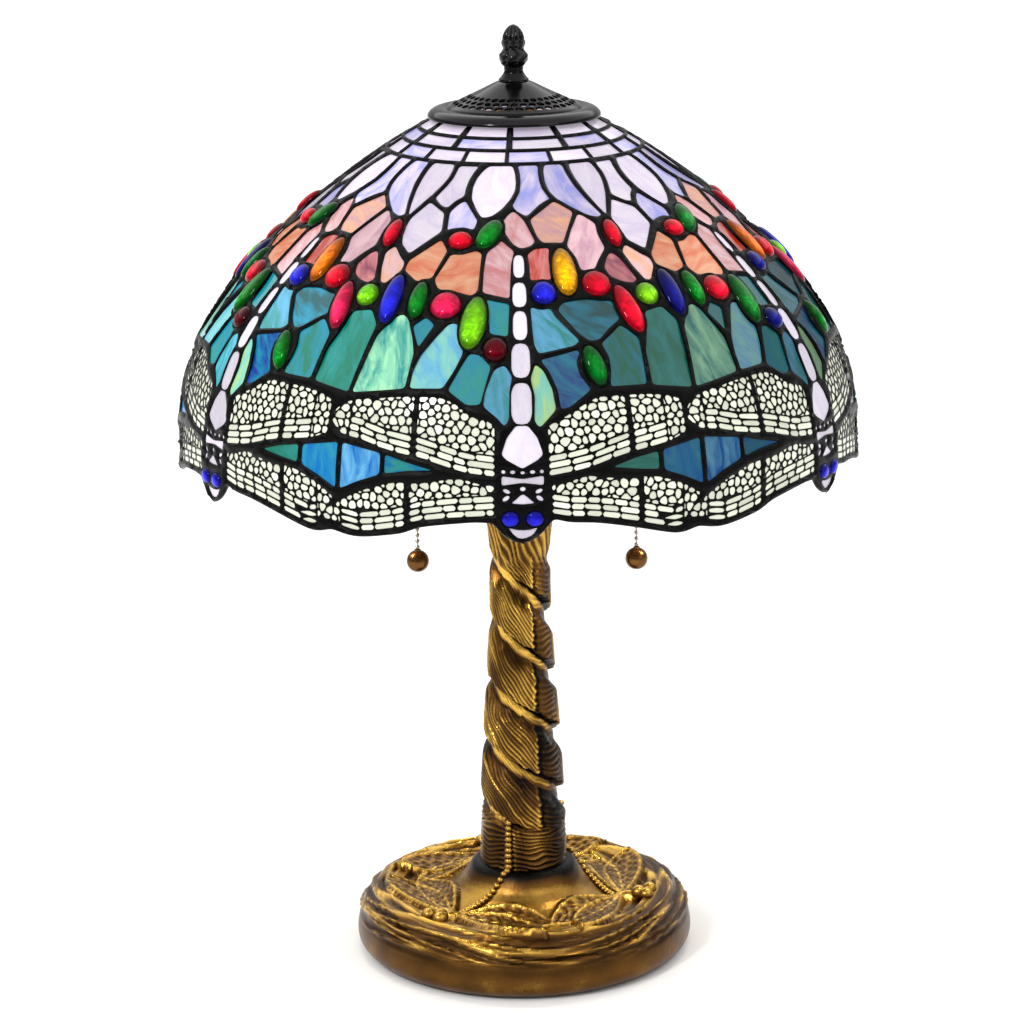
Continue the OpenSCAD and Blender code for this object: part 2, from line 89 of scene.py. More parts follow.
def clean(ob, weld=0.0, thinnest=0.0):
    """Outward normals, and where asked near vertices welded or thin faces dissolved."""
    bm = bmesh.new()
    bm.from_mesh(ob.data)
    if thinnest:
        bmesh.ops.dissolve_degenerate(bm, edges=bm.edges, dist=thinnest)
        bmesh.ops.delete(bm, geom=[v for v in bm.verts if not v.link_faces], context="VERTS")
    if weld:
        bmesh.ops.remove_doubles(bm, verts=bm.verts, dist=weld)
    bmesh.ops.recalc_face_normals(bm, faces=bm.faces)
    bm.to_mesh(ob.data)
    bm.free()


def paint(ob, name, colours):
    """A colour per vertex."""
    a = ob.data.color_attributes.new(name, "FLOAT_COLOR", "POINT")
    c = np.ones((len(colours), 4), np.float32)
    c[:, :3] = colours
    a.data.foreach_set("color", c.ravel())


def unwrap(ob, uv):
    """A UV per vertex."""
    layer = ob.data.uv_layers.new(name="UVMap")
    index = np.zeros(len(ob.data.loops), np.int32)
    ob.data.loops.foreach_get("vertex_index", index)
    layer.data.foreach_set("uv", np.asarray(uv, np.float32)[index].ravel())


def set_relief(ob, values):
    """How bright the patina, with its painted light and shade, is at each vertex."""
    a = ob.data.attributes.new("relief", "FLOAT", "POINT")
    a.data.foreach_set("value", np.asarray(values, np.float32))


def round_quads(rows, cols):
    """Faces between rings of vertices that lie one after another."""
    return [[i * cols + j, i * cols + (j + 1) % cols, (i + 1) * cols + (j + 1) % cols, (i + 1) * cols + j]
            for i in range(rows - 1) for j in range(cols)]


def tree_of(points):
    """A search tree of points, for the nearest one."""
    tree = KDTree(len(points))
    for i, p in enumerate(points):
        tree.insert(p, i)
    tree.balance()
    return tree


# ---------------------------------------------------------------- materials


def lin(c):
    """sRGB colour to scene-linear."""
    return tuple(x / 12.92 if x <= 0.04045 else ((x + 0.055) / 1.055) ** 2.4 for x in c)


def grey(v):
    """A linear grey, which may be brighter than white."""
    return (v, v, v, 1)


class Mat:
    """Small helper that builds a node material."""

    def __init__(self, name):
        self.m = bpy.data.materials.new(name)
        self.m.use_nodes = True
        self.t = self.m.node_tree
        self.bsdf = self.t.nodes["Principled BSDF"]

    def node(self, kind, **props):
        n = self.t.nodes.new(kind)
        for k, v in props.items():
            setattr(n, k, v)
        return n

    def link(self, a, b):
        self.t.links.new(a, b)

    def feed(self, **sources):
        """Links an output to each named socket of the shader."""
        for k, v in sources.items():
            self.link(v, self.bsdf.inputs[k.replace("_", " ")])

    def set(self, **values):
        for k, v in values.items():
            self.bsdf.inputs[k.replace("_", " ")].default_value = v

    def attribute(self, name, output="Color"):
        return self.node("ShaderNodeAttribute", attribute_name=name).outputs[output]

    def coords(self, uv=False):
        n = self.node("ShaderNodeTexCoord")
        return n.outputs["UV" if uv else "Object"]

    def noise(self, vector, scale, detail=3.0, rough=0.5, distortion=0.0):
        n = self.node("ShaderNodeTexNoise")
        values = dict(Scale=scale, Detail=detail, Roughness=rough, Distortion=distortion)
        for k, v in values.items():
            n.inputs[k].default_value = v
        self.link(vector, n.inputs["Vector"])
        return n.outputs["Fac"]

    def ramp(self, fac, stops):
        """A colour ramp; three numbers are an sRGB colour, four a linear one."""
        n = self.node("ShaderNodeValToRGB")
        e = n.color_ramp.elements
        while len(e) < len(stops):
            e.new(0.5)
        for x, (pos, col) in zip(e, stops):
            x.position = pos
            x.color = (*lin(col), 1) if len(col) == 3 else col
        self.link(fac, n.inputs["Fac"])
        return n.outputs["Color"]

    def mix(self, fac, a, b, kind="MIX"):
        n = self.node("ShaderNodeMix", data_type="RGBA", blend_type=kind)
        for socket, v in ((n.inputs[0], fac), (n.inputs[6], a), (n.inputs[7], b)):
            if hasattr(v, "is_output"):
                self.link(v, socket)
            elif isinstance(v, (int, float)):
                socket.default_value = v
            else:
                socket.default_value = (*lin(v), 1)
        return n.outputs[2]

    def math(self, op, a, b=0.0):
        n = self.node("ShaderNodeMath", operation=op)
        for socket, v in ((n.inputs[0], a), (n.inputs[1], b)):
            if hasattr(v, "is_output"):
                self.link(v, socket)
            else:
                socket.default_value = v
        return n.outputs[0]

    def sum_of(self, *terms):
        """The sum of (output, weight) pairs."""
        total = None
        for output, weight in terms:
            part = self.math("MULTIPLY", output, weight)
            total = part if total is None else self.math("ADD", total, part)
        return total

    def bump(self, height, strength, distance):
        n = self.node("ShaderNodeBump")
        n.inputs["Strength"].default_value = strength
        n.inputs["Distance"].default_value = distance
        self.link(height, n.inputs["Height"])
        self.feed(Normal=n.outputs["Normal"])


def metal_material(name, base, dark, rough=0.35, metallic=1.0, scale=60.0, spread=0.5, bump=0.15):
    """Metal whose colour and roughness vary with two scales of noise."""
    m = Mat(name)
    co = m.coords()
    fine = m.noise(co, scale * 9, 3, 0.6)
    fac = m.sum_of((m.noise(co, scale, 4, 0.6), 0.7), (fine, 0.3))
    m.feed(Base_Color=m.ramp(fac, [(0.5 - spread / 2, dark), (0.5 + spread / 2, base)]),
           Roughness=m.ramp(fac, [(0.3, grey(rough + 0.14)), (0.7, grey(rough - 0.05))]))
    m.set(Metallic=metallic)
    m.bump(fine, bump, 0.0004)
    return m.m


def plain_material(name, base, dark, rough=0.6, scale=80.0, bump=0.2):
    """The same for what isn't metal."""
    return metal_material(name, base, dark, rough, 0.0, scale, 0.5, bump)


# ------------------------------------------------------------------- shade
# The dome is the CAD part's: two arcs and a straight skirt. Places on it are
# (angle from a dragonfly's axis in degrees, arc length from the crown in mm).

TURN = 0.6             # degrees that the photo's shade is turned to the right
CROWN_SLOPE, SHOULDER_SLOPE = math.radians(29.3), math.radians(48)
ARC_1, ARC_2 = 498.0, 154.5
CROWN_R = 59.0
CROWN_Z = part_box("heat_cap")[1].z / MM - 28.0
LEN_1 = ARC_1 * (SHOULDER_SLOPE - CROWN_SLOPE)
LEN_2 = ARC_2 * (math.pi / 2 - SHOULDER_SLOPE)
READ = 60 / 62.4       # the outlines below were read with 62.4 degrees to a cell


def dome(s):
    """Radius, height and slope of the dome at arc length s, arrays in mm."""
    s = np.asarray(s, float)
    a = CROWN_SLOPE + np.clip(s, 0, LEN_1) / ARC_1
    b = SHOULDER_SLOPE + np.clip(s - LEN_1, 0, LEN_2) / ARC_2
    r = CROWN_R + ARC_1 * (np.sin(a) - math.sin(CROWN_SLOPE)) + ARC_2 * (np.sin(b) - math.sin(SHOULDER_SLOPE))
    z = CROWN_Z - ARC_1 * (math.cos(CROWN_SLOPE) - np.cos(a)) - ARC_2 * (math.cos(SHOULDER_SLOPE) - np.cos(b))
    below = np.maximum(s - LEN_1 - LEN_2, 0)
    above = np.minimum(s, 0)
    slope = np.where(s > LEN_1, b, a)
    return r + above * math.cos(CROWN_SLOPE), z - below - above * math.sin(CROWN_SLOPE), slope


def radius(s):
    return float(dome(s)[0])


def on_dome(theta, s, h=0.0):
    """Points in metres at angle theta, arc length s and height h off the surface."""
    r, z, slope = dome(s)
    r, z = r + h * np.sin(slope), z + h * np.cos(slope)
    a = np.radians(np.asarray(theta) + TURN - 90)
    return np.stack([r * np.cos(a), r * np.sin(a), z], -1) * MM


def put(points):
    """(angle, s) points on the dome, in metres."""
    return on_dome([p[0] for p in points], [p[1] for p in points])


def true(points):
    """Points with read angles, as points with true angles."""
    return [(t * READ, s) for t, s in points]


def sides(poly):
    """Each side of a polygon, as its two ends."""
    return zip(poly, poly[1:] + poly[:1])


def clip(poly, n, c):
    """The part of a polygon where n.p <= c."""
    out = []
    for i, p in enumerate(poly):
        q = poly[(i + 1) % len(poly)]
        dp, dq = n[0] * p[0] + n[1] * p[1] - c, n[0] * q[0] + n[1] * q[1] - c
        if dp <= 0:
            out.append(p)
        if (dp < 0 < dq) or (dq < 0 < dp):
            t = dp / (dp - dq)
            out.append((p[0] + t * (q[0] - p[0]), p[1] + t * (q[1] - p[1])))
    return out


def between(poly, x0, x1):
    """The part of a polygon from x0 to x1."""
    return clip(clip(poly, (1, 0), x1), (-1, 0), -x0)


def area(poly):
    return 0.5 * sum(p[0] * q[1] - q[0] * p[1] for p, q in sides(poly))


def shrink(poly, d):
    """A convex polygon moved inwards by d."""
    if area(poly) < 0:
        poly = poly[::-1]
    out = list(poly)
    for p, q in sides(poly):
        ex, ey = q[0] - p[0], q[1] - p[1]
        ln = math.hypot(ex, ey)
        if ln < 1e-6:
            continue
        n = (ey / ln, -ex / ln)
        out = clip(out, n, n[0] * p[0] + n[1] * p[1] - d)
        if len(out) < 3:
            return []
    return out


def inset(poly, d):
    """Any simple polygon moved inwards by d, with its corners' reach limited."""
    if area(poly) < 0:
        poly = poly[::-1]
    out, n = [], len(poly)
    for i in range(n):
        a, b, c = poly[i - 1], poly[i], poly[(i + 1) % n]
        e1, e2 = (b[0] - a[0], b[1] - a[1]), (c[0] - b[0], c[1] - b[1])
        l1, l2 = math.hypot(*e1) or 1, math.hypot(*e2) or 1
        n1, n2 = (-e1[1] / l1, e1[0] / l1), (-e2[1] / l2, e2[0] / l2)
        m = (n1[0] + n2[0], n1[1] + n2[1])
        k = d / max(0.45, (1 + n1[0] * n2[0] + n1[1] * n2[1]))
        out.append((b[0] + m[0] * k, b[1] + m[1] * k))
    return out


def soften(poly, reach, steps):
    """Corners of a polygon rounded by cutting up to reach from each."""
    out, n = [], len(poly)
    for i in range(n):
        a, b, c = poly[i - 1], poly[i], poly[(i + 1) % n]
        l1, l2 = math.dist(a, b) or 1, math.dist(b, c) or 1
        k1, k2 = min(reach, 0.42 * l1) / l1, min(reach, 0.42 * l2) / l2
        p = (b[0] + (a[0] - b[0]) * k1, b[1] + (a[1] - b[1]) * k1)
        q = (b[0] + (c[0] - b[0]) * k2, b[1] + (c[1] - b[1]) * k2)
        for j in range(steps + 1):
            t = j / steps
            u, v, w = (1 - t) ** 2, 2 * t * (1 - t), t * t
            out.append((u * p[0] + v * b[0] + w * q[0], u * p[1] + v * b[1] + w * q[1]))
    return out


def split_long(poly, step):
    """The polygon with a point about every step along its sides."""
    out = []
    for p, q in sides(poly):
        n = max(1, round(math.dist(p, q) / step))
        out += [(p[0] + (q[0] - p[0]) * j / n, p[1] + (q[1] - p[1]) * j / n) for j in range(n)]
    return out


def thin_out(poly, least):
    """The polygon without points nearer than least to the one before."""
    out = []
    for p in poly:
        if not out or math.dist(p, out[-1]) > least:
            out.append(p)
    while len(out) > 3 and math.dist(out[0], out[-1]) < least:
        out.pop()
    return out


def flat(poly):
    """(read angle, s) points to flat mm about the polygon's own middle angle."""
    mid = sum(p[0] for p in poly) / len(poly)
    return mid, [(math.radians((p[0] - mid) * READ) * radius(p[1]), p[1]) for p in poly]


def unflat(mid, poly):
    """Flat mm back to (true angle, s)."""
    return [(mid * READ + math.degrees(x / radius(y)), y) for x, y in poly]


def ellipse(theta, s, a, b, tilt, n):
    """An oval on the dome at a read angle, as (true angle, s) points."""
    r = radius(s)
    t = math.radians(tilt)
    out = []
    for i in range(n):
        u, v = a * math.cos(TAU * i / n), -b * math.sin(TAU * i / n)
        x, y = u * math.cos(t) - v * math.sin(t), u * math.sin(t) + v * math.cos(t)
        out.append((theta * READ + math.degrees(x / r), s + y))
    return out


LILAC, PALE, PERI = (0.90, 0.86, 0.94), (0.96, 0.93, 0.97), (0.72, 0.73, 0.93)
PINK, PEACH, ROSE = (0.90, 0.76, 0.78), (0.93, 0.72, 0.60), (0.80, 0.55, 0.55)
CORAL, MAUVE, BRICK, PLUM = (0.88, 0.54, 0.44), (0.76, 0.60, 0.66), (0.70, 0.30, 0.26), (0.50, 0.25, 0.33)
TEAL, DTEAL, LTEAL, BTEAL = (0.20, 0.52, 0.50), (0.04, 0.30, 0.32), (0.52, 0.76, 0.70), (0.20, 0.50, 0.60)
SKY, BLUE, DBLUE = (0.42, 0.66, 0.80), (0.12, 0.38, 0.66), (0.05, 0.20, 0.52)
GREEN, LGREEN, YGREEN = (0.10, 0.42, 0.33), (0.62, 0.84, 0.68), (0.68, 0.80, 0.52)

# panes: outline at the seams' middles, the two colours of its streaks, the streaks' angle
PANES = {
    "petal": [
        ([(-26.5, 29.5), (-14.8, 29.5), (-16.6, 36), (-17.7, 44), (-17.9, 52), (-17.4, 59), (-20.3, 63.5),
          (-22.4, 71), (-25.6, 68.5), (-29.6, 61.5), (-27.6, 50), (-26.5, 42)], PALE, LILAC, 60),
        ([(-30, 62.5), (-22.4, 72.5), (-21, 89), (-28.4, 110), (-32.5, 101), (-34.2, 90), (-34.2, 79)],
         PALE, LILAC, 20),
        ([(-22.2, 72), (-20.4, 65), (-17.5, 59.5), (-15, 66.5), (-11.2, 78.5), (-12, 88.5), (-15.5, 86),
          (-18.8, 87.3), (-20.8, 90)], LILAC, PERI, 100),
        ([(-12.5, 28.5), (-0.8, 28.5), (0.3, 36), (0.6, 45), (0.2, 53), (-1.5, 61), (-4.2, 69.5),
          (-7.5, 76.5), (-11.2, 78.2), (-13.8, 70), (-16.4, 60), (-17.2, 50), (-16.7, 41), (-15, 34)],
          PALE, LILAC, 80),
        ([(-0.8, 28.5), (10.8, 28.5), (9.9, 36), (9.6, 44), (10, 51), (11.5, 58.5), (12.3, 61), (8, 66),
          (5, 72.5), (2.8, 77.5), (-1, 71.5), (-2.5, 66), (-1.5, 61), (0.2, 53), (0.6, 45), (0.3, 36)],
          LILAC, PERI, 110),
        ([(11.5, 28.5), (21.5, 28.5), (21.6, 38), (22.6, 50), (24.6, 63), (26.6, 74.5), (27, 78),
          (24.5, 80.5), (21, 77.5), (17, 70), (12.5, 61.5), (10.5, 54), (9.8, 46), (10.2, 36)],
          PERI, LILAC, 70),
        ([(22.6, 28.5), (35.2, 28.5), (36, 36), (35.8, 43), (34.8, 50), (32.7, 60), (30.4, 69),
          (28.4, 78.5), (27, 78), (25.6, 70), (23.5, 56), (22.3, 44), (22, 36)], PALE, LILAC, 95),
    ],
    "coral": [
        ([(-5.3, 79.5), (-3.8, 73.5), (-1.7, 68.5), (0.3, 71), (2.6, 77.8), (5.3, 96), (3.6, 101),
          (0.4, 103), (-2, 98.5), (-4.3, 89)], ROSE, PINK, 60),
        ([(2.8, 77.5), (6, 71), (12, 61), (14, 63.5), (18.3, 72.5), (15.5, 84), (12.3, 99.5), (10, 98.8),
          (6, 98.5), (4.5, 92)], MAUVE, PEACH, 30),
        ([(18.3, 73), (20.5, 75), (23.7, 83), (23, 92), (23.5, 104), (20.5, 113), (18.5, 121),
          (14.3, 121.5), (13.8, 110), (12, 100), (14.5, 87)], MAUVE, PINK, 110),
        ([(1.6, 105), (4, 99.8), (8.7, 99.3), (8, 110), (8, 127.3), (5, 127), (2, 127.5), (2, 115)],
         BRICK, ROSE, 90),
        ([(20, 119), (21.8, 110), (23.8, 105.5), (25.5, 108.5), (27, 117), (28.4, 130), (26.5, 134),
          (23.5, 131.5), (21, 127)], PLUM, ROSE, 50),
        ([(26.3, 107.5), (28.6, 100.8), (30, 103), (32.5, 110), (34.4, 114), (34.4, 121), (31.3, 133),
          (29.2, 132), (27.5, 120)], PEACH, PINK, 70),
        ([(-28.4, 112), (-21, 92.5), (-17.7, 103.5), (-19, 116), (-19.8, 126), (-23.8, 130), (-28.5, 121)],
         CORAL, PEACH, 20),
        ([(-17.7, 104.5), (-14.5, 104.5), (-10.7, 101), (-8.7, 104), (-8.6, 134), (-10.3, 139),
          (-14.5, 135.5), (-18.5, 134.5), (-20.3, 126), (-19, 115)], CORAL, PEACH, 160),
        ([(-8.7, 104), (-4.8, 92), (-0.4, 102.5), (-1.3, 114), (-1.6, 141), (-8.6, 136), (-8.9, 118)],
         PINK, ROSE, 40),
    ],
    "teal": [
        ([(-8, 137.5), (-1.6, 141.5), (-1.9, 168), (-6.4, 165.5), (-6.6, 156), (-7.2, 147)],
         TEAL, BTEAL, 80),
        ([(-5.2, 187), (-2.8, 183), (-1.1, 192), (-1.6, 201), (-1.7, 219), (-2.8, 226), (-4.3, 219.5),
          (-7, 211.5), (-6.7, 202)], SKY, TEAL, 80),
        ([(-9.7, 176), (-7.4, 177), (-4.9, 185.5), (-6.7, 211.5), (-9.5, 212), (-13.4, 202), (-11.3, 186)],
         BTEAL, TEAL, 70),
        ([(-14.8, 157.5), (-13.5, 155.5), (-11.8, 157), (-10.2, 177.5), (-11.5, 189), (-13.5, 202),
          (-20.2, 203), (-20.1, 190), (-19.2, 179), (-17, 167)], LTEAL, SKY, 60),
        ([(-22.2, 160), (-19.3, 151.5), (-16.5, 158.5), (-19.4, 178), (-21, 168)], TEAL, BTEAL, 50),
        ([(-25.5, 152), (-24, 151), (-22.4, 155.5), (-20.6, 168), (-19.6, 179), (-20.2, 203), (-31, 208.5),
          (-30.2, 187), (-29.2, 167), (-27.5, 159)], LGREEN, TEAL, 75),
        ([(26, 152), (30.8, 149.5), (33.5, 161), (32.8, 180), (31.5, 208.5), (23, 203.5), (23.3, 180),
          (24.6, 168.5)], GREEN, TEAL, 85),
        ([(20, 159.5), (21.5, 163), (23.7, 170.5), (23.5, 182), (22.9, 203), (15.2, 202.5), (15.9, 190),
          (15.9, 182), (14.8, 172.5), (17.5, 166)], BTEAL, GREEN, 80),
        ([(7.2, 148), (8.8, 141.5), (12.5, 139.5), (14.5, 139.3), (18, 141.5), (20.3, 142), (20.8, 150),
          (21, 157.5), (18, 164), (15.3, 172), (13, 172.5), (10.8, 165.5)], DTEAL, BTEAL, 30),
        ([(1.7, 143), (4.5, 146), (6.7, 144.5), (7.6, 151.5), (12, 170.5), (10.5, 174.8), (3, 179.8),
          (2.1, 172), (1.9, 160)], TEAL, SKY, 55),
        ([(2.8, 181), (10.8, 174.8), (11.6, 178), (10.6, 184), (10.9, 191), (12.8, 202.5), (8.5, 213.5),
          (6.3, 215.5), (5.9, 202), (4.6, 190)], DBLUE, BTEAL, 40),
        ([(2.4, 182), (4.4, 188), (5.8, 200), (6.3, 214), (3, 226.5), (1.7, 221), (1.9, 205), (1.2, 194)],
         YGREEN, LTEAL, 85),
    ],
    "gap": [
        ([(14.2, 250), (18.5, 244), (23.2, 241), (23.2, 255.5), (18.5, 253.5)], TEAL, GREEN, 10),
        ([(23.2, 241), (31.1, 236), (31.1, 268.5), (27, 261), (23.2, 255.5)], BLUE, BTEAL, 80),
        ([(31.1, 236), (39.1, 240.5), (39.1, 256), (35, 261.5), (31.1, 268.5)], SKY, BLUE, 90),
        ([(39.1, 240.5), (43.5, 245), (48.2, 250.5), (43.5, 253), (39.1, 256)], BLUE, TEAL, 10),
    ],
}
# tail pieces: from, to, half width in degrees
TAIL = [(106, 123.7, 1.3), (127, 145.3, 1.5), (147.9, 168.6, 1.4), (170.7, 193.3, 1.7), (196.4, 221.9, 1.75)]
HEAD = [
    [(-1.0, 222.8), (1.0, 222.8), (2.5, 230), (3.4, 240), (2.6, 243.2), (0, 248.6), (-2.6, 243.2),
     (-3.4, 240), (-2.5, 230)],
    [(-3.4, 252.9), (-0.3, 254.6), (0.3, 254.6), (3.4, 252.9), (3.4, 258.7), (0.3, 257.2), (-0.3, 257.2),
     (-3.4, 258.7)],
    [(0, 263.6), (1.9, 269.6), (0, 270.2), (-1.9, 269.6)],
    [(-2.4, 284.4), (-1.2, 286), (0, 286.3), (1.2, 286), (2.4, 284.4), (1.7, 288.6), (0.8, 291.4),
     (0, 292.3), (-0.8, 291.4), (-1.7, 288.6)],
]
# ovals of the head: angle, s, half width, half height in mm, tilt in degrees
HEAD_OVALS = [(-3.1, 250.4, 1.2, 1.1, 0), (-1.6, 250.6, 1.6, 1.1, 0), (0, 251, 1.3, 0.9, 0),
              (1.6, 250.6, 1.6, 1.1, 0), (3.1, 250.4, 1.2, 1.1, 0),
              (0, 260.8, 1.7, 1.3, 0), (-2.6, 262.2, 2.3, 1.2, 25), (2.6, 262.2, 2.3, 1.2, -25),
              (-2.7, 266.6, 2.4, 1.3, -35), (2.7, 266.6, 2.4, 1.3, 35)]
EYES = [(-2.0, 279), (1.85, 279)]
RUBY, BRIGHT, DARK_RED = (0.84, 0.0, 0.14), (0.90, 0.10, 0.30), (0.33, 0.0, 0.05)
EMERALD, LIME, AMBER = (0.0, 0.44, 0.10), (0.47, 0.80, 0.05), (0.87, 0.43, 0.0)
YELLOW, COBALT, NAVY = (1.0, 0.70, 0.0), (0.12, 0.12, 0.76), (0.02, 0.03, 0.45)
# jewels: angle, s, half width, half height in mm, tilt (top to the right), colours in turn round the shade
JEWELS = [
    (26.4, 93.2, 5.3, 11.2, 0, [RUBY]), (-7.8, 90.3, 7, 12.6, 25, [EMERALD]),
    (-15.5, 96, 7.9, 6.8, 0, [RUBY]),
    (10.7, 120.3, 7.6, 18.2, 0, [YELLOW, AMBER, AMBER, RUBY, AMBER, AMBER]),
    (5.3, 135.9, 7.9, 8.4, 0, [COBALT, NAVY, COBALT]),
    (17.4, 130.9, 9.4, 9.4, 0, [RUBY]), (22.9, 150.5, 6.9, 18, -10, [RUBY, BRIGHT]),
    (28.3, 141.5, 7.5, 8.1, 0, [LIME]),
    (-28, 142.3, 6.7, 18.2, 0, [COBALT, NAVY]), (-21.9, 142, 5.9, 13.6, 0, [EMERALD]),
    (-15.6, 145.1, 9.7, 9.6, 0, [BRIGHT, RUBY]),
    (-9.3, 156.6, 8, 18.9, 5, [LIME, EMERALD, EMERALD, NAVY, LIME, EMERALD]),
    (-4.7, 175.1, 7.7, 8, 0, [DARK_RED, NAVY, DARK_RED]),
    (13.4, 187.1, 6.4, 13.6, -14, [EMERALD]),
]
# the shade's lower edge left and right of a head, and round the head
RIM = [(-4.5, 280.7), (-7.7, 281), (-10, 281.9), (-13.3, 283.3), (-17.3, 285.7), (-20, 290.3), (-22.7, 292),
       (-25, 293.6), (-28, 295), (-30, 294.3), (-32.7, 291.7)]
RIM_RIGHT = [(4.7, 278.6), (7.3, 281.9), (11.7, 282.9), (15, 285), (17.3, 286.9), (20, 289.3), (22.7, 292),
             (26, 295), (27.7, 294.3)]
CHIN = [(-5.0, 281.6), (-4.3, 283.9), (-3.2, 288.6), (-1.7, 292.6), (0, 295), (2, 291), (3.2, 286.7),
        (4.3, 281.3)]
# wings: leading edge, trailing edge, angle of the rib across it, mm to a degree, rows of long cells
WINGS = [
    ([(-33.5, 219.5), (-33.1, 216), (-31.6, 212.8), (-29.3, 210), (-26, 208.6), (-22.7, 207), (-19.3, 206),
      (-14.7, 205.6), (-12, 207.6), (-10, 212.9), (-8.7, 217), (-6, 218.6), (-4.4, 223)],
     [(-33.5, 225.5), (-33.1, 229.5), (-31.6, 232.4), (-30, 233.6), (-27.3, 235), (-25, 237.9),
      (-20, 241.7), (-17.3, 243), (-14.7, 245.7), (-12, 248.6), (-9.3, 251.4), (-4.4, 253.6)],
      -18.1, 3.66, 3),
    ([(4.2, 223), (6, 220), (8.3, 215.7), (11, 210), (13, 206.6), (18, 206.4), (21.7, 207), (25.3, 208.6),
      (27.5, 210.6), (28.4, 213)],
     [(4.2, 253.6), (9.3, 250.7), (11.7, 248.6), (14.7, 245), (18, 242), (22.7, 239.3), (26.3, 237),
      (28.4, 233)], 18.4, 3.66, 3),
    ([(-34.3, 281.4), (-32.7, 277), (-30, 271.4), (-27.7, 266.4), (-25, 262.9), (-22.7, 260),
      (-20.3, 258.3), (-17.3, 258.6), (-14.7, 257), (-12, 255), (-10, 254.3), (-6.7, 257.9), (-4.5, 258.6)],
     [(-34.3, 286), (-32, 288.3), (-30, 290.3), (-28, 291.6), (-25, 290.4), (-22.7, 288.7), (-20, 286.6),
      (-17.3, 282.5), (-13.3, 280.1), (-10, 278.8), (-4.5, 277.4)], -19, 3.77, 3),
    ([(4.6, 258.6), (8, 256.4), (10.3, 253.6), (13.3, 255.4), (16.7, 257), (18.7, 257.9), (20.7, 256.4),
      (23.3, 258.6), (25.7, 262), (27.6, 265), (29.2, 269.0), (30.4, 272)],
     [(4.6, 276.4), (7.3, 278.6), (11.7, 279.8), (15, 281.8), (17.3, 283.6), (20, 286), (22.7, 288.8),
      (25.6, 291.2), (27.4, 289.6), (27.9, 283.5), (28.8, 278.8), (30.4, 273)], 19.5, 3.77, 3),
]


ROW_H = 4.2        # height of a row of the wings' long cells, mm
WING_LINE = 0.42   # half the width of the wings' thin lines
TIP_REACH = 13.0   # length of a wing's tip, which has cobbles only
LEAST_DEPTH = 2.5  # what a row of long cells leaves free above it


def under_curve(poly, curve, sign):
    """The part of a small polygon on one side of a curve, taken as straight along it."""
    if len(poly) < 3:
        return []
    a, b = min(p[0] for p in poly), max(p[0] for p in poly)
    if b - a < 0.3:
        return []
    ya, yb = curve(a), curve(b)
    d = math.hypot(b - a, yb - ya)
    n = (-(yb - ya) / d * sign, (b - a) / d * sign)
    return clip(poly, n, n[0] * a + n[1] * ya)


def long_cells(x0, x1, rows, upper, lower, rng):
    """Rows of long cells from x0 to x1 along the trailing edge."""
    cells = []
    for row in range(rows):
        x = x0
        while x < x1 - 3:
            w = rng.uniform(7.5, 15)
            w = x1 - x if x1 - x - w < 5 else w
            middle = x + w / 2
            if lower(middle) - upper(middle) > (row + 1) * ROW_H + LEAST_DEPTH:
                skew = rng.uniform(-0.8, 0.8)
                n = 3 if w > 8 else 2
                at = [i / n for i in range(n + 1)]
                poly = [(x + skew + w * q, lower(x + w * q) - (row + 1) * ROW_H) for q in at]
                poly += [(x + w * q, lower(x + w * q) - row * ROW_H) for q in reversed(at)]
                cells.append(between(poly, x0, x1))
            x += w
    return cells


def cobbles(x0, x1, rows, upper, lower, y0, y1, rng):
    """Round cells from x0 to x1, from the leading edge to the rows of long cells."""
    step_x, step_y, jitter, reach = 5.9, 4.8, 0.33, 9

    def floor_of(x):
        n = rows
        while n and lower(x) - upper(x) <= n * ROW_H + LEAST_DEPTH:
            n -= 1
        return lower(x) - n * ROW_H

    seeds = []
    for j in range(int((y1 - y0) / step_y) + 2):
        for i in range(int((x1 - x0) / step_x) + 3):
            seeds.append((x0 + (i - 0.7 + 0.5 * (j % 2) + rng.uniform(-jitter, jitter)) * step_x,
                          y0 + (j + rng.uniform(-jitter, jitter)) * step_y))
    cells = []
    for x, y in seeds:
        if not (x0 - 3 < x < x1 + 3 and upper(x) - 3 < y < floor_of(x) + 3):
            continue
        poly = [(x - reach, y - reach), (x + reach, y - reach), (x + reach, y + reach),
                (x - reach, y + reach)]
        for qx, qy in seeds:
            dx, dy = qx - x, qy - y
            if 0 < dx * dx + dy * dy < 260:
                poly = clip(poly, (dx, dy), (qx ** 2 + qy ** 2 - x ** 2 - y ** 2) / 2)
        poly = between(poly, x0, x1)
        for curve, sign in ((upper, -1), (upper, -1), (floor_of, 1), (floor_of, 1)):
            poly = under_curve(poly, curve, sign)
        cells.append(poly)
    return cells


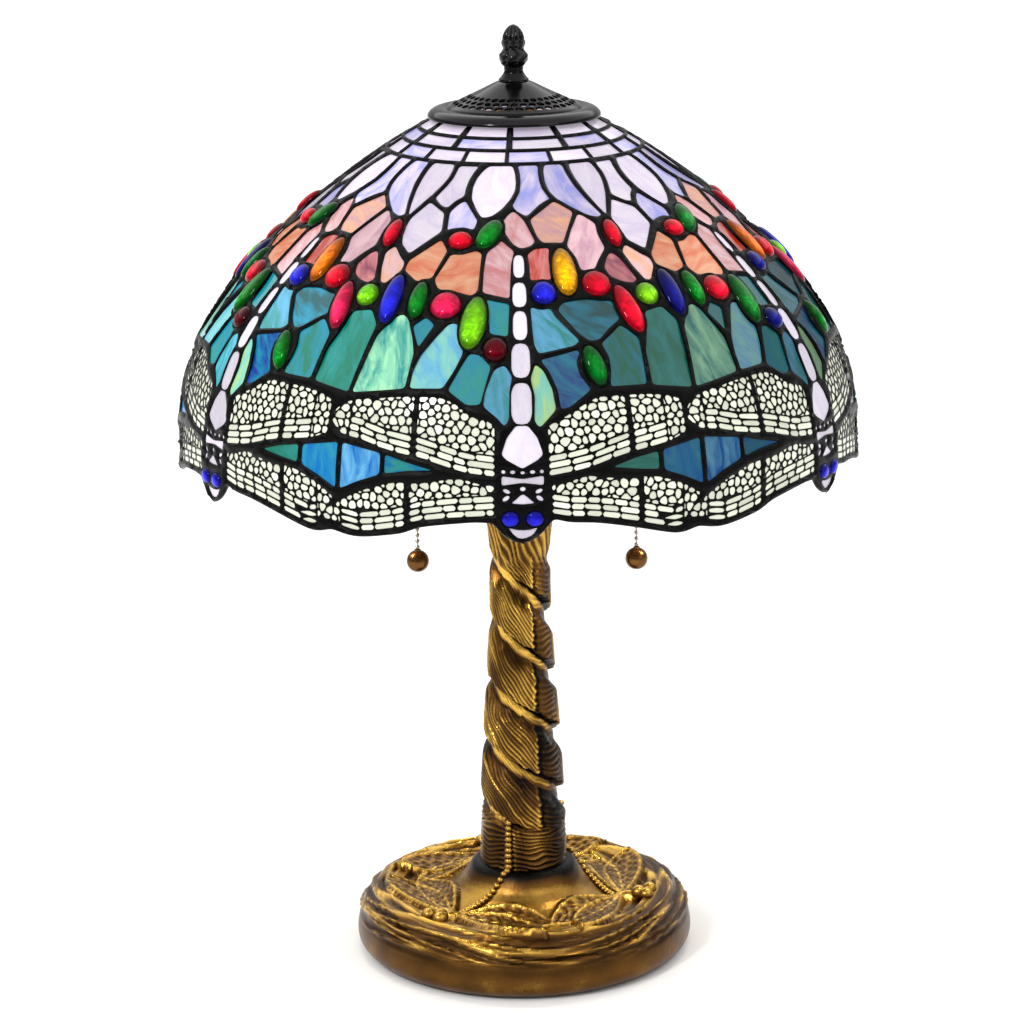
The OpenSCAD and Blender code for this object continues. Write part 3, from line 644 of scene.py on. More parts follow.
def wing_cells(top, bottom, split, k, rows, rng):
    """The openings of one wing's filigree, as (read angle, s) polygons."""
    tx, ty = [p[0] * k for p in top], [p[1] for p in top]
    bx, by = [p[0] * k for p in bottom], [p[1] for p in bottom]

    def upper(x):
        return float(np.interp(x, tx, ty))

    def lower(x):
        return float(np.interp(x, bx, by))

    x0, x1, rib = tx[0], tx[-1], 1.2
    # the wing's two parts, and its tip
    zones = [(x0, split * k - rib, rows), (split * k + rib, x1, rows)]
    if abs(x0) > abs(x1):
        zones[:1] = [(x0, x0 + TIP_REACH, 0), (x0 + TIP_REACH, split * k - rib, rows)]
    else:
        zones[1:] = [(split * k + rib, x1 - TIP_REACH, rows), (x1 - TIP_REACH, x1, 0)]
    cells = []
    for zone in zones:
        cells += long_cells(*zone, upper, lower, rng)
        cells += cobbles(*zone, upper, lower, min(ty) - 8, max(by), rng)
    out = []
    for poly in cells:
        if len(poly) < 3:
            continue
        poly = thin_out(shrink(thin_out(poly, 0.4), WING_LINE), 0.5)
        if len(poly) >= 3 and abs(area(poly)) > 3.0:
            poly = thin_out(soften(poly, 1.1, 1), 0.35)
            out.append([(x / k, y) for x, y in poly])
    return out


WIRE = 1.5         # half the width of a lead line, mm
OVAL_SIDES = 10
glass = []         # each piece of glass: kind, outline in true degrees, two colours, streak angle
centre_lines = []  # the middles of the seams, in true degrees


def add_glass(kind, poly, a, b, angle, curved=False):
    glass.append(dict(kind=kind, poly=poly, a=a, b=b, angle=angle, curved=curved))


def cut_crown():
    """Three rows of plain panes round the crown."""
    half_line = 1.35
    colours = [(PALE, LILAC), (LILAC, PALE), (PERI, LILAC)]
    # from, to, first seam and step in degrees, width of the upright seams in mm
    rows = [(-13, 3.5, -3.4, 30, 4), (3.5, 15.5, -3.4, 30, 4), (15.5, 28.4, -4.2, 20, 2.6)]
    for row, (s0, s1, first, step, wide) in enumerate(rows):
        for i in range(round(CELL / step)):
            t0, t1 = first + i * step, first + (i + 1) * step
            n = round(step / 2.5)
            edge = [t0 + (t1 - t0) * j / n for j in range(n + 1)]
            poly = [(t / READ, s0) for t in edge] + [(t / READ, s1) for t in reversed(edge)]
            e = math.degrees(wide / 2 / radius((s0 + s1) / 2))
            inner = [t0 + e + (t1 - t0 - 2 * e) * j / n for j in range(n + 1)]
            shape = [(t, s0 + half_line) for t in inner] + [(t, s1 - half_line) for t in reversed(inner)]
            centre_lines.append(true(split_long(poly, 3)))
            add_glass("crown", shape, *colours[(row + i) % 3], 0, True)


def cut_panes():
    """The field of petals, coral and blue and green glass, and the glass between the wings."""
    for kind, rows in PANES.items():
        for outline, a, b, angle in rows:
            mid, poly = flat(outline)
            centre_lines.append(true(outline))
            poly = thin_out(soften(inset(poly, WIRE), 2.4, 3), 0.8)
            add_glass(kind, unflat(mid, split_long(poly, 4.5)), a, b, angle)


def cut_bodies():
    """The dragonfly's tail pieces and the shapes of its head."""
    for s0, s1, half in TAIL:
        m, q, end = (s0 + s1) / 2, (s1 - s0) * 0.28, half * 0.62
        shape = [(-end, s0), (end, s0), (half, m - q), (half, m + q),
                 (end, s1), (-end, s1), (-half, m + q), (-half, m - q)]
        add_glass("body", true(soften(shape, 2, 2)), PALE, LILAC, 90)
    for shape in HEAD:
        mid, poly = flat(shape)
        add_glass("body", unflat(mid, thin_out(soften(poly, 1.5, 2), 0.5)), PALE, LILAC, 90)
    for oval in HEAD_OVALS:
        add_glass("body", ellipse(*oval, OVAL_SIDES), PALE, LILAC, 0)


def cut_wings():
    rng = random.Random(11)
    for wing in WINGS:
        for poly in wing_cells(*wing, rng):
            add_glass("wing", true(poly), (0.97, 0.97, 0.90), (0.90, 0.93, 0.84), 0)


def cut_jewel(t, s, a, b, tilt, colours, n=28, rim=1.4, high=4.5, eye=False):
    return dict(poly=ellipse(t, s, a, b, tilt, n), rim=ellipse(t, s, a + rim, b + rim, tilt, n),
                at=(t, s), a=a, b=b, tilt=tilt, colours=colours, high=high, eye=eye)


cut_crown()
cut_panes()
cut_bodies()
cut_wings()
jewels = [cut_jewel(*row) for row in JEWELS]
jewels += [cut_jewel(t, s, 5.6, 5.0, 0, [COBALT], 24, 0.8, 3.6, True) for t, s in EYES]

K = 2.6         # chart mm per degree
HALF = CELL / 2
NEAR = 37       # outlines and points are kept to this angle from the cell's middle
BEYOND = 62     # the chart's sheet of solder reaches to this angle
TOP_S = -13     # the sheet's upper edge, under the heat cap


def repeated(poly):
    """The copies of a polygon that come near the cell from -30 to 30 degrees."""
    lo, hi = min(p[0] for p in poly), max(p[0] for p in poly)
    return [[(p[0] + CELL * k, p[1]) for p in poly]
            for k in (-1, 0, 1) if hi + CELL * k > -NEAR and lo + CELL * k < NEAR]


def rim_of_cell():
    """The shade's lower edge along one cell, as (true angle, s)."""
    return sorted(true(RIM + CHIN + RIM_RIGHT))


def rim_points():
    """The shade's lower edge right round."""
    return [(t + CELL * k, s) for k in range(CELLS) for t, s in rim_of_cell()]


def cell_outlines():
    """Every outline in and near one cell in chart mm, each with what it bounds."""
    found = []

    def add(poly, kind, number):
        poly = poly if area(poly) > 0 else poly[::-1]
        found.append(([(t * K, s) for t, s in poly], (kind, number)))

    low = [(t + CELL * k, s) for k in (-1, 0, 1) for t, s in rim_of_cell()]
    low = [p for p in low if abs(p[0]) < BEYOND]
    add([(-BEYOND + 2 * BEYOND * i / 60, TOP_S) for i in range(61)] + low[::-1], "region", 0)
    for i, g in enumerate(glass):
        for poly in repeated(g["poly"]):
            add(poly, "pane", i)
    for i, j in enumerate(jewels):
        for kind, outline in (("jewel", j["poly"]), ("bezel", j["rim"])):
            for poly in repeated(outline):
                add(poly, kind, i)
    return found


def inside_test(shapes):
    """A function that says whether a chart point lies in any of the shapes."""
    left, low, right, high = np.array([[*np.min(s, 0), *np.max(s, 0)] for s in shapes]).T

    def inside(x, y):
        for i in np.nonzero((left < x) & (right > x) & (low < y) & (high > y))[0]:
            hit = False
            for p, q in sides(shapes[i]):
                if (p[1] > y) != (q[1] > y) and x < (q[0] - p[0]) * (y - p[1]) / (q[1] - p[1]) + p[0]:
                    hit = not hit
            if hit:
                return True
        return False

    return inside


def solder_points(tree, inside):
    """(angle, s) points on the solder: along seams, scattered over it, and round the jewels."""
    # angle, s, least distance from glass and from another point, mm
    wanted = []
    for line in centre_lines:
        wanted += [(x / K, s, 0.75, 1.5) for x, s in split_long([(t * K, s) for t, s in line], 1.5)]
    jig = random.Random(3)
    row_step = 2.2
    for j in range(int(310 / row_step)):
        s = -12 + j * row_step
        n = round(math.radians(CELL) * radius(s) / 2.5)
        for i in range(n):
            wanted.append((-HALF + CELL * (i + jig.uniform(0.1, 0.9)) / n, s + jig.uniform(-0.8, 0.8),
                           1.15, 2.0))
    for j in jewels:
        wanted += [(t, s, 0.5, 0.9) for t, s in ellipse(*j["at"], j["a"] + 0.7, j["b"] + 0.7, j["tilt"], 28)]
    taken, points, size = {}, [], 4.0
    for angle, s, clear, apart in wanted:
        t = (angle + HALF) % CELL - HALF
        if tree.find(on_dome(t, s))[2] < clear * MM or inside(t * K, s):
            continue
        here = (math.radians(t) * radius(s), s)
        bx, by = int(here[0] // size), int(here[1] // size)
        near = [o for dx in (-1, 0, 1) for dy in (-1, 0, 1) for o in taken.get((bx + dx, by + dy), ())]
        if any(math.dist(o, here) < apart for o in near):
            continue
        taken.setdefault((bx, by), []).append(here)
        points.append((t, s))
    return points


def triangulate():
    """One cell as triangles: the chart's points, the triangles, what each is, and a tree of glass edges."""
    outlines = cell_outlines()
    solid = [poly for poly, (kind, _) in outlines if kind in ("pane", "jewel")]
    tree = tree_of(put([(x / K, s) for poly in solid for x, s in split_long(poly, 1.0)]))
    verts, faces = [], []
    for poly, _ in outlines:
        faces.append(list(range(len(verts), len(verts) + len(poly))))
        verts += poly
    for t, s in solder_points(tree, inside_test(solid)):
        verts += [((t + CELL * k) * K, s) for k in (-1, 0, 1) if abs(t + CELL * k) < NEAR]
    out_v, _, out_f, _, _, sources = delaunay_2d_cdt([Vector(v) for v in verts], [], faces, 1, 1e-4, True)
    rank = {"jewel": 3, "bezel": 2, "pane": 1, "region": 0}
    tris, what = [], []
    for f, ids in zip(out_f, sources):
        middle = sum(out_v[i].x for i in f) / len(f) / K
        labels = [outlines[i][1] for i in ids if i < len(outlines)]
        if -HALF <= middle < HALF and any(w[0] == "region" for w in labels):
            tris.append(list(f))
            what.append(max(labels, key=lambda w: rank[w[0]]))
    return np.array([(v.x / K, v.y) for v in out_v]), tris, what, tree


chart, tris, what, edge_tree = triangulate()


def solder_heights(used):
    """How high the solder stands at each of its chart points, mm."""
    touch = {}
    for t, (kind, i) in zip(tris, what):
        # the wings' cells, and shapes with as few sides as the head's ovals, have low edges
        if kind == "pane" and (glass[i]["kind"] == "wing" or len(glass[i]["poly"]) == OVAL_SIDES):
            kind = "hole"
        for v in t:
            touch.setdefault(v, set()).add(kind)
    edge = put(rim_points())
    rim_line = []
    for a, b in zip(edge, np.roll(edge, -1, 0)):
        n = max(1, int(np.linalg.norm(b - a) / MM))
        rim_line += [a + (b - a) * j / n for j in range(n)]
    rim_tree = tree_of(rim_line)
    jig = random.Random(5)
    heights = []
    for i in used:
        q = on_dome(*chart[i])
        d = edge_tree.find(q)[2] / MM
        kinds = touch[i]
        if "jewel" in kinds:
            h = 2.0
        elif "bezel" in kinds:
            h = 2.5 if d < 1.05 else 1.7
        elif "hole" in kinds:
            h = 0.9
        elif "pane" in kinds:
            h = 1.2
        elif rim_tree.find(q)[2] < 0.4 * MM:
            h = 0.9
        else:
            h = 1.25 + 0.95 * min(1, d / 1.7) ** 0.6 + jig.uniform(-0.1, 0.1)
        heights.append(h)
    return heights


def build_solder(material):
    """The shade's lead lines, as one mesh with an outer and an inner skin."""
    came = [t for t, w in zip(tris, what) if w[0] in ("region", "bezel")]
    used = sorted({i for t in came for i in t})
    local = {g: n for n, g in enumerate(used)}
    heights = solder_heights(used)
    # six cells welded into one sheet, whose points keep their angle, s and height
    bm = bmesh.new()
    data = bm.verts.layers.float_vector.new("data")
    for k in range(CELLS):
        ring = []
        for g, h in zip(used, heights):
            t, s = chart[g][0] + CELL * k, chart[g][1]
            v = bm.verts.new(on_dome(t, s))
            v[data] = (t, s, h)
            ring.append(v)
        for t in came:
            bm.faces.new([ring[local[i]] for i in t])
    bmesh.ops.remove_doubles(bm, verts=bm.verts, dist=0.04 * MM)
    bm.verts.index_update()
    info = np.array([tuple(v[data]) for v in bm.verts])
    faces = [[v.index for v in f.verts] for f in bm.faces if len({v.index for v in f.verts}) == 3]
    bm.free()
    outer = on_dome(info[:, 0], info[:, 1], info[:, 2])
    inner = on_dome(info[:, 0], info[:, 1], -0.5 - 0.6 * info[:, 2])
    faces = [facing_out(f, outer) for f in faces]
    open_edges = dict.fromkeys((p, q) for f in faces for p, q in sides(f))
    n = len(outer)
    walls = [[q, p, p + n, q + n] for p, q in open_edges if (q, p) not in open_edges]
    make("leading", np.vstack([outer, inner]), faces + [[i + n for i in reversed(f)] for f in faces] + walls,
         "shade", material, ("seam_rings", "seam_ribs", "jewel_setting"), 50)


def facing_out(f, points):
    """A triangle of the shade, turned if it faces inwards."""
    a, b, c = (points[i] for i in f)
    return f if np.cross(b - a, c - a) @ np.array([a[0], a[1], 0.05]) >= 0 else f[::-1]


# kind: the CAD node and the slot that it has
GLASS_NODES = {
    "crown": ("crown_glass", "glass_lilac"), "petal": ("petal_glass", "glass_white"),
    "coral": ("coral_glass", "glass_coral"), "teal": ("teal_glass", "glass_teal"),
    "wing": ("wing_glass", "glass_wing"), "gap": ("wing_gap_glass", "glass_gap"),
    "body": ("dragonfly_bodies", "glass_body"),
}
PAINTED_SIDE_LIGHT = 0.34        # painted side light: how much the blue and green sheets are painted darker from the left side to the right one, as if lit from the left
SHEET = 2.0        # thickness of the glass, mm


def pane_mesh(number, triangles):
    """A pane's own points as (angle, s), and its triangles among them."""
    outline = glass[number]["poly"]
    mean = sum(p[0] for p in outline) / len(outline)
    index, points, faces = {}, [], []
    for t in triangles:
        # a pane that crosses the cell's side is put together again
        off = CELL * round((mean - sum(chart[j][0] for j in t) / 3) / CELL)
        f = []
        for j in t:
            if (j, off) not in index:
                index[(j, off)] = len(points)
                points.append((chart[j][0] + off, chart[j][1]))
            f.append(index[(j, off)])
        faces.append(f)
    return mean, np.array(points), faces


def slab(points, k, curved):
    """A pane's upper face in cell k, flat unless it is curved, and its normals and its lift."""
    t, s = points[:, 0] + CELL * k, points[:, 1]
    p = on_dome(t, s)
    if curved or len(p) < 4:
        normals = on_dome(t, s, 1) - p
        return p, normals / np.linalg.norm(normals, axis=1)[:, None], 0.4 * MM
    c = p.mean(0)
    _, _, axes = np.linalg.svd(p - c)
    normal = axes[2] if axes[2] @ np.array([c[0], c[1], 0.1]) > 0 else -axes[2]
    off_plane = (p - c) @ normal
    return p - off_plane[:, None] * normal, normal, min(0.45 * MM, 0.9 * MM - float((-off_plane).max()))


def build_glass(materials):
    """The panes, joined by kind. Each has two tints, and its own place on a sheet of streaks."""
    groups = {}
    for t, (kind, i) in zip(tris, what):
        if kind == "pane":
            groups.setdefault(i, []).append(t)
    parts = {}
    jig = random.Random(21)
    for i, triangles in sorted(groups.items()):
        g = glass[i]
        mean, points, faces = pane_mesh(i, triangles)
        part = parts.setdefault(g["kind"], dict(v=[], f=[], a=[], b=[], uv=[]))
        n = len(points)
        # centimetres across and down the pane, turned to the streaks
        x, y = np.radians(points[:, 0] - mean) * radius(points[:, 1].mean()) / 10, points[:, 1] / 10
        turn = math.radians(g["angle"])
        for k in range(CELLS):
            top, normals, lift = slab(points, k, g["curved"])
            base = len(part["v"])
            part["v"] += list(top + normals * lift) + list(top + normals * (lift - SHEET * MM))
            for f in faces:
                f = facing_out(f, top)
                part["f"] += [[base + j for j in f], [base + n + j for j in reversed(f)]]
            shade = jig.uniform(0.9, 1.06)
            # painted side light: the blue and green panes are painted paler on the left and darker on the
            # right
            if g["kind"] in ("teal", "gap"):
                shade *= 1.0 - PAINTED_SIDE_LIGHT * math.sin(math.radians(mean + CELL * k))
            swap = jig.random() < 0.3 and k
            for name, tint in (("a", g["b" if swap else "a"]), ("b", g["a" if swap else "b"])):
                part[name] += [np.array(lin([min(1, v * shade) for v in tint]))] * (2 * n)
            ox, oy = jig.uniform(0, 40), jig.uniform(0, 40)
            u, v = x * math.cos(turn) + y * math.sin(turn) + ox, y * math.cos(turn) - x * math.sin(turn) + oy
            part["uv"] += list(np.stack([u, v], 1)) * 2
    for kind, part in parts.items():
        node, slot = GLASS_NODES[kind]
        ob = make("panes_" + kind, part["v"], part["f"], "shade", materials[kind], (node,),
                  smooth=False)
        paint(ob, "tint_a", np.array(part["a"]))
        paint(ob, "tint_b", np.array(part["b"]))
        unwrap(ob, part["uv"])


# a jewel's section: share of its radius, height over the dome in mm for one 4.5 mm high
JEWEL_RINGS = [(1.0, -0.6), (1.0, 1.4), (0.965, 2.5), (0.88, 3.5), (0.72, 4.4), (0.5, 5.05), (0.25, 5.4)]
JEWEL_SEAT, JEWEL_SIDES = 1.4, 28


def add_jewel(part, j, k, colour):
    """A domed jewel in cell k."""
    base, n, rings = len(part["v"]), JEWEL_SIDES, len(JEWEL_RINGS)
    (t0, s0), grow = j["at"], j["high"] / 4.5
    for share, h in JEWEL_RINGS:
        h = h if h < 1.5 else JEWEL_SEAT + (h - JEWEL_SEAT) * grow
        for i, (t, s) in enumerate(ellipse(t0, s0, j["a"] * share, j["b"] * share, j["tilt"], n)):
            part["v"].append(on_dome(t + CELL * k, s, h))
            part["uv"].append((share * math.cos(TAU * i / n), share * math.sin(TAU * i / n)))
    for h in (JEWEL_SEAT + 4.1 * grow, JEWEL_RINGS[0][1]):
        part["v"].append(on_dome(t0 * READ + CELL * k, s0, h))
        part["uv"].append((0, 0))
    part["a"] += [colour] * (rings * n + 2)
    low = len(part["v"]) - 1
    part["f"] += [[base + v for v in f] for f in round_quads(rings, n)]
    last = base + (rings - 1) * n
    for i in range(n):
        part["f"] += [[last + i, last + (i + 1) % n, low - 1], [base + (i + 1) % n, base + i, low]]


def build_jewels(material):
    """The cabochons in the field and the dragonflies' eyes."""
    sets = {False: dict(v=[], f=[], a=[], uv=[]), True: dict(v=[], f=[], a=[], uv=[])}
    jig = random.Random(8)
    for j in jewels:
        for k in range(CELLS):
            tint = j["colours"][k % len(j["colours"])]
            add_jewel(sets[j["eye"]],
                      j, k, np.array(lin([min(1, c * jig.uniform(0.92, 1.05)) for c in tint])))
    for name, slot, node, part in (("cabochons", "glass_jewel", "jewels", sets[False]),
                                   ("eyes", "glass_eye", "dragonfly_eyes", sets[True])):
        ob = make(name, part["v"], part["f"], "shade", material, (node,), 60)
        paint(ob, "tint_a", np.array(part["a"]))
        unwrap(ob, np.array(part["uv"]))
        clean(ob)


def build_rim(material):
    """The wire along the wings' edge."""
    drop, step, n = 0.9, 3.2 * MM, 8
    corners = put([(t, s - drop) for t, s in rim_points()])
    lengths = np.linalg.norm(np.roll(corners, -1, 0) - corners, axis=1)
    total = lengths.sum()
    count = int(total / step)
    # evenly spaced points, then two rounds of smoothing
    at, along = np.arange(count) * total / count, np.concatenate([[0], np.cumsum(lengths)])
    closed = np.vstack([corners, corners[:1]])
    path = np.stack([np.interp(at, along, closed[:, i]) for i in range(3)], 1)
    for _ in range(2):
        path = 0.5 * path + 0.25 * (np.roll(path, 1, 0) + np.roll(path, -1, 0))
    tangent = np.roll(path, -1, 0) - np.roll(path, 1, 0)
    tangent /= np.linalg.norm(tangent, axis=1)[:, None]
    out = path * (1, 1, 0)
    out /= np.linalg.norm(out, axis=1)[:, None]
    side = np.cross(tangent, out)
    turns = [TAU * i / n for i in range(n)]
    verts = np.stack([path + (out * math.cos(a) * 1.9 + side * math.sin(a) * 1.6) * MM for a in turns], 1)
    faces = round_quads(count, n)
    faces += [[(count - 1) * n + j, (count - 1) * n + (j + 1) % n, (j + 1) % n, j] for j in range(n)]
    clean(make("rim_bead", verts.reshape(-1, 3), faces, "shade", material, ("rim_wire",)))


def glass_material(name, glow, contrast=0.28, streak=0.35, scale=1.1, body=0.5, rich=1.0):
    """Opal glass with wisps of a second tint, and painted light: a glow that stands in for light shining
    through it.
    """
    m = Mat(name)
    place = m.node("ShaderNodeMapping")
    place.inputs["Scale"].default_value = (streak, 1.0, 1.0)
    m.link(m.coords(uv=True), place.inputs["Vector"])
    wisps = m.noise(place.outputs["Vector"], scale, 4, 0.55, 0.9)
    fine = m.noise(place.outputs["Vector"], scale * 5, 3, 0.6, 0.4)
    fac = m.ramp(wisps, [(0.5 - contrast / 2, grey(0)), (0.5 + contrast / 2, grey(1))])
    light = m.ramp(fine, [(0.3, grey(0.95)), (0.7, grey(1.05))])
    vivid = m.node("ShaderNodeHueSaturation")
    vivid.inputs["Saturation"].default_value = rich
    tint = m.mix(fac, m.attribute("tint_a"), m.attribute("tint_b"))
    m.link(m.mix(1.0, tint, light, "MULTIPLY"), vivid.inputs["Color"])
    colour = vivid.outputs["Color"]
    m.feed(Base_Color=m.mix(1 - body, colour, (0, 0, 0)), Emission_Color=colour)
    # painted light: the emission stands in for light shining through the glass
    m.set(Roughness=0.16, Emission_Strength=glow, IOR=1.42)
    m.bump(wisps, 0.12, 0.002)
    return m.m


def jewel_material():
    """Clear coloured glass with painted light from behind: an emission deep at its edge, a painted bright
    patch low down where the light leaves, and painted glints.
    """
    m = Mat("cabochon glass")
    a = m.attribute("tint_a")
    uv = m.coords(uv=True)
    far = m.node("ShaderNodeVectorMath", operation="LENGTH")
    m.link(uv, far.inputs[0])
    part = m.node("ShaderNodeSeparateXYZ")
    m.link(uv, part.inputs[0])
    height = m.math("ADD", m.math("MULTIPLY", part.outputs["Y"], 0.5), 0.5)
    inner = m.noise(m.coords(), 210, 2, 0.5, 1.2)
    colour = a
    # painted light: darker towards the edge, a painted bright patch low down, and painted glints from the
    # noise
    for fac, stops in ((far.outputs["Value"], [(0.0, 1.25), (0.45, 1.0), (0.7, 0.55), (0.9, 0.12)]),
                       (height, [(0.15, 1.9), (0.55, 0.8), (1.0, 0.6)]),
                       (inner, [(0.36, 0.62), (0.58, 1.05), (0.74, 2.1)])):
        colour = m.mix(1.0, colour, m.ramp(fac, [(at, grey(v)) for at, v in stops]), "MULTIPLY")
    m.feed(Base_Color=m.mix(0.92, a, (0, 0, 0)),
           Emission_Color=colour, Specular_Tint=m.mix(0.14, a, (1, 1, 1)))
    m.set(Roughness=0.04, Emission_Strength=1.25, IOR=1.46)
    m.bump(inner, 0.05, 0.001)
    return m.m


solder = metal_material("black solder", (0.022, 0.020, 0.018), (0.006, 0.006, 0.006),
                        0.36, 0.85, 120, 0.5, 0.35)
build_solder(solder)
build_glass({
    "crown": glass_material("opal glass crown", 0.33, rich=1.35),
    "petal": glass_material("opal glass petals", 0.33, rich=1.35),
    "coral": glass_material("opal glass coral", 0.38, rich=1.15),
    "teal": glass_material("opal glass teal", 0.36, rich=1.12, body=0.46),
    "gap": glass_material("opal glass between wings", 0.36, rich=1.05),
    "wing": glass_material("opal glass wings", 0.46, 0.4),
    "body": glass_material("opal glass bodies", 0.38, 0.4),
})
build_jewels(jewel_material())
build_rim(solder)


# ------------------------------------------------- post, foot, finial and cap
# Angles phi run from the front, and reliefs are heights in mm over a plain outline.

FOOT_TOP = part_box("foot_casting")[1].z / MM
FOOT_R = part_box("foot_casting")[1].x / MM
POST_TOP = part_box("post_casting")[1].z / MM
POST_LOW = FOOT_TOP - 2
POST_Z = [POST_LOW, 70, 84, 100, 125, 150, 200, 245, 270, 290, 305, 322, POST_TOP]
POST_RADIUS = [30.2, 30.0, 29.4, 28.6, 27.2, 25.8, 22.4, 20.0, 20.0, 21.6, 23.4, 25.6, 27.0]
BAND = 43.0        # height of one of the two leaf bands at any one side
LOW_END = 94.0     # where the bands end above the plain grooved foot of the post
FLARE = 266, 286   # where the bands pass into the grooves of the flared top
FIBRES = 12        # fibres up one band
UNDERCUT = -4.6    # how far the post lies back under a band's lower edge
RIB_AT = 22.0      # degrees from the front, of the wavy rib the fibres end on
DRAGONFLIES, FIRST_AT = 3, -44   # relief dragonflies on the foot, and the first one's angle
TAIL_TURN = (24, 39, 39)         # degrees each one's tail winds on its way to the post


def ridge_of(line, power=1.0):
    """1 in the middle of each unit of line and 0 at its ends."""
    return (1 - abs(2 * (line % 1.0) - 1)) ** power


def bump_at(distance, width):
    """1 at distance 0, dying away over the width."""
    return math.exp(-(distance / width) ** 2)


def bead(verts, faces, values, centre, r, segments=10, value=0.8):
    """A small ball added to a mesh under construction, mm, painted lighter on top and darker underneath as if
    lit from above.
    """
    base, rings = len(verts), segments // 2
    cx, cy, cz = centre
    for i in range(1, rings):
        for j in range(segments):
            a, b = math.pi * i / rings, TAU * j / segments
            verts.append((cx + r * math.sin(a) * math.cos(b), cy + r * math.sin(a) * math.sin(b),
                          cz + r * math.cos(a)))
            # painted light and shade: lighter towards the top, darker underneath
            values.append(value * (0.55 + 0.45 * math.cos(a)))
    verts += [(cx, cy, cz + r), (cx, cy, cz - r)]
    values += [1.0, 0.1]
    low, last = len(verts) - 1, base + (rings - 2) * segments
    for a, b, c, d in round_quads(rings - 1, segments):
        faces.append([base + a, base + d, base + c, base + b])
    for j in range(segments):
        k = (j + 1) % segments
        faces += [[low - 1, base + j, base + k], [low, last + k, last + j]]


def fibre_phase(phi):
    """Runs of fibres round the post: steep, then level just past each rib, two runs to the turn."""
    half_turns, d = divmod(math.degrees(phi) - RIB_AT, 180)
    level = math.radians(min(d, 45))
    steep = math.radians(max(0, d - 45))
    return 9 * half_turns - 2.6 * level + (9 + 2.6 * math.pi / 4) / (math.pi * 0.75) * steep


def band_relief(phi, u, z, band):
    """Relief, and patina with painted light and shade, at share u of a leaf band, 0 at its lower edge."""
    cx, cy = math.cos(phi), math.sin(phi)
    top = 0.77 + 0.08 * wander(cx * 2.2 + band * 7, cy * 2.2, z * 0.02)
    warp = wander(cx * 1.6, cy * 1.6, z * 0.05)
    line = u * FIBRES + fibre_phase(phi) + 1.3 * warp
    if u < top:
        bold = 0.55 + 0.9 * abs(wander(math.floor(line) * 3.1, band * 1.7, 0.5))
        ridge = ridge_of(line, 0.7)
        puff = smoothstep(top, top - 0.24, u)
        edge = smoothstep(0.0, 0.05, u)
        past = (math.degrees(phi) - RIB_AT) % 180
        calm = 1 - 0.6 * smoothstep(0, 6, past) * smoothstep(60, 45, past)
        h = UNDERCUT + 4.7 * puff + 0.5 * (1 - u) + 1.5 * bold * (ridge - 0.5) * puff * (0.35 + 0.65 * edge)
        value = 0.12 + 0.74 * bold * ridge * calm * (0.35 + 0.65 * puff) + 0.12 * (1 - u)
        # the wavy rib and the furrow beside it
        off_rib = (math.degrees(phi) - RIB_AT + 1.3 * math.sin(z * 0.8) + 3 * warp + 90) % 180 - 90
        rib, furrow = bump_at(off_rib, 2.6), bump_at(off_rib - 6, 3.0)
        return h + 0.9 * puff * (rib - furrow), value + 0.25 * rib - 0.3 * furrow
    # smooth ribbon below the leaf above, then the dark undercut. The undercut and the ribbon's upper part are
    # painted dark, as shade under the leaf above.
    t = (u - top) / (1 - top)
    if t > 0.8:
        return -5.4, -0.1
    ridge = ridge_of(line)
    h = UNDERCUT + 0.35 * math.sin(math.pi * t / 0.86) - 0.7 * t + 0.3 * ridge
    value = 0.26 + 0.40 * math.sin(math.pi * t / 0.9) + 0.3 * warp
    # painted side light: the ribbon is painted lighter towards the front left, as if lit from there
    return h, value + 0.25 * math.cos(phi + 0.7) + 0.22 * (ridge - 0.5)


def post_relief(phi, u, z, band):
    """The bands' relief, and patina with painted light and shade, with the flared top's grooves and the plain
    foot's rings.
    """
    cx, cy = math.cos(phi), math.sin(phi)
    # the row under each leaf's edge is painted dark, as shade under the leaf
    h, value = (-3.0, -0.1) if u == 0 else band_relief(phi, u, z, band)
    flare = smoothstep(*FLARE, z)
    if flare > 0:
        ridge = ridge_of(26 * phi / TAU + z * 0.075 + 1.1 * wander(cx * 2, cy * 2, z * 0.03), 0.8)
        h = h * (1 - flare) + flare * (-1.8 + 1.4 * ridge)
        value = value * (1 - flare) + flare * (0.2 + 0.52 * ridge)
    plain = 1 - smoothstep(LOW_END - 3, LOW_END + 3, z + 5 * math.sin(phi + 0.6))
    if plain > 0:
        ridge = ridge_of(z / 3.1 + 0.5 * math.sin(2 * phi) + 1.5 * wander(cx * 2, cy * 2, z * 0.06), 0.7)
        rib = 0.8 * bump_at((math.degrees(phi) - 50) % 120 - 60, 4.0)
        h = h * (1 - plain) + plain * (-1.6 + 1.4 * ridge + rib)
        value = value * (1 - plain) + plain * (0.14 + 0.55 * ridge + 0.2 * rib)
    h += 0.2 * wander(cx * 5, cy * 5, z * 0.3)
    # darker towards the foot, and the patina darker in patches
    return h, value - 0.26 * smoothstep(230, 80, z) + 0.3 * wander(cx * 1.8, cy * 1.8, z * 0.028)


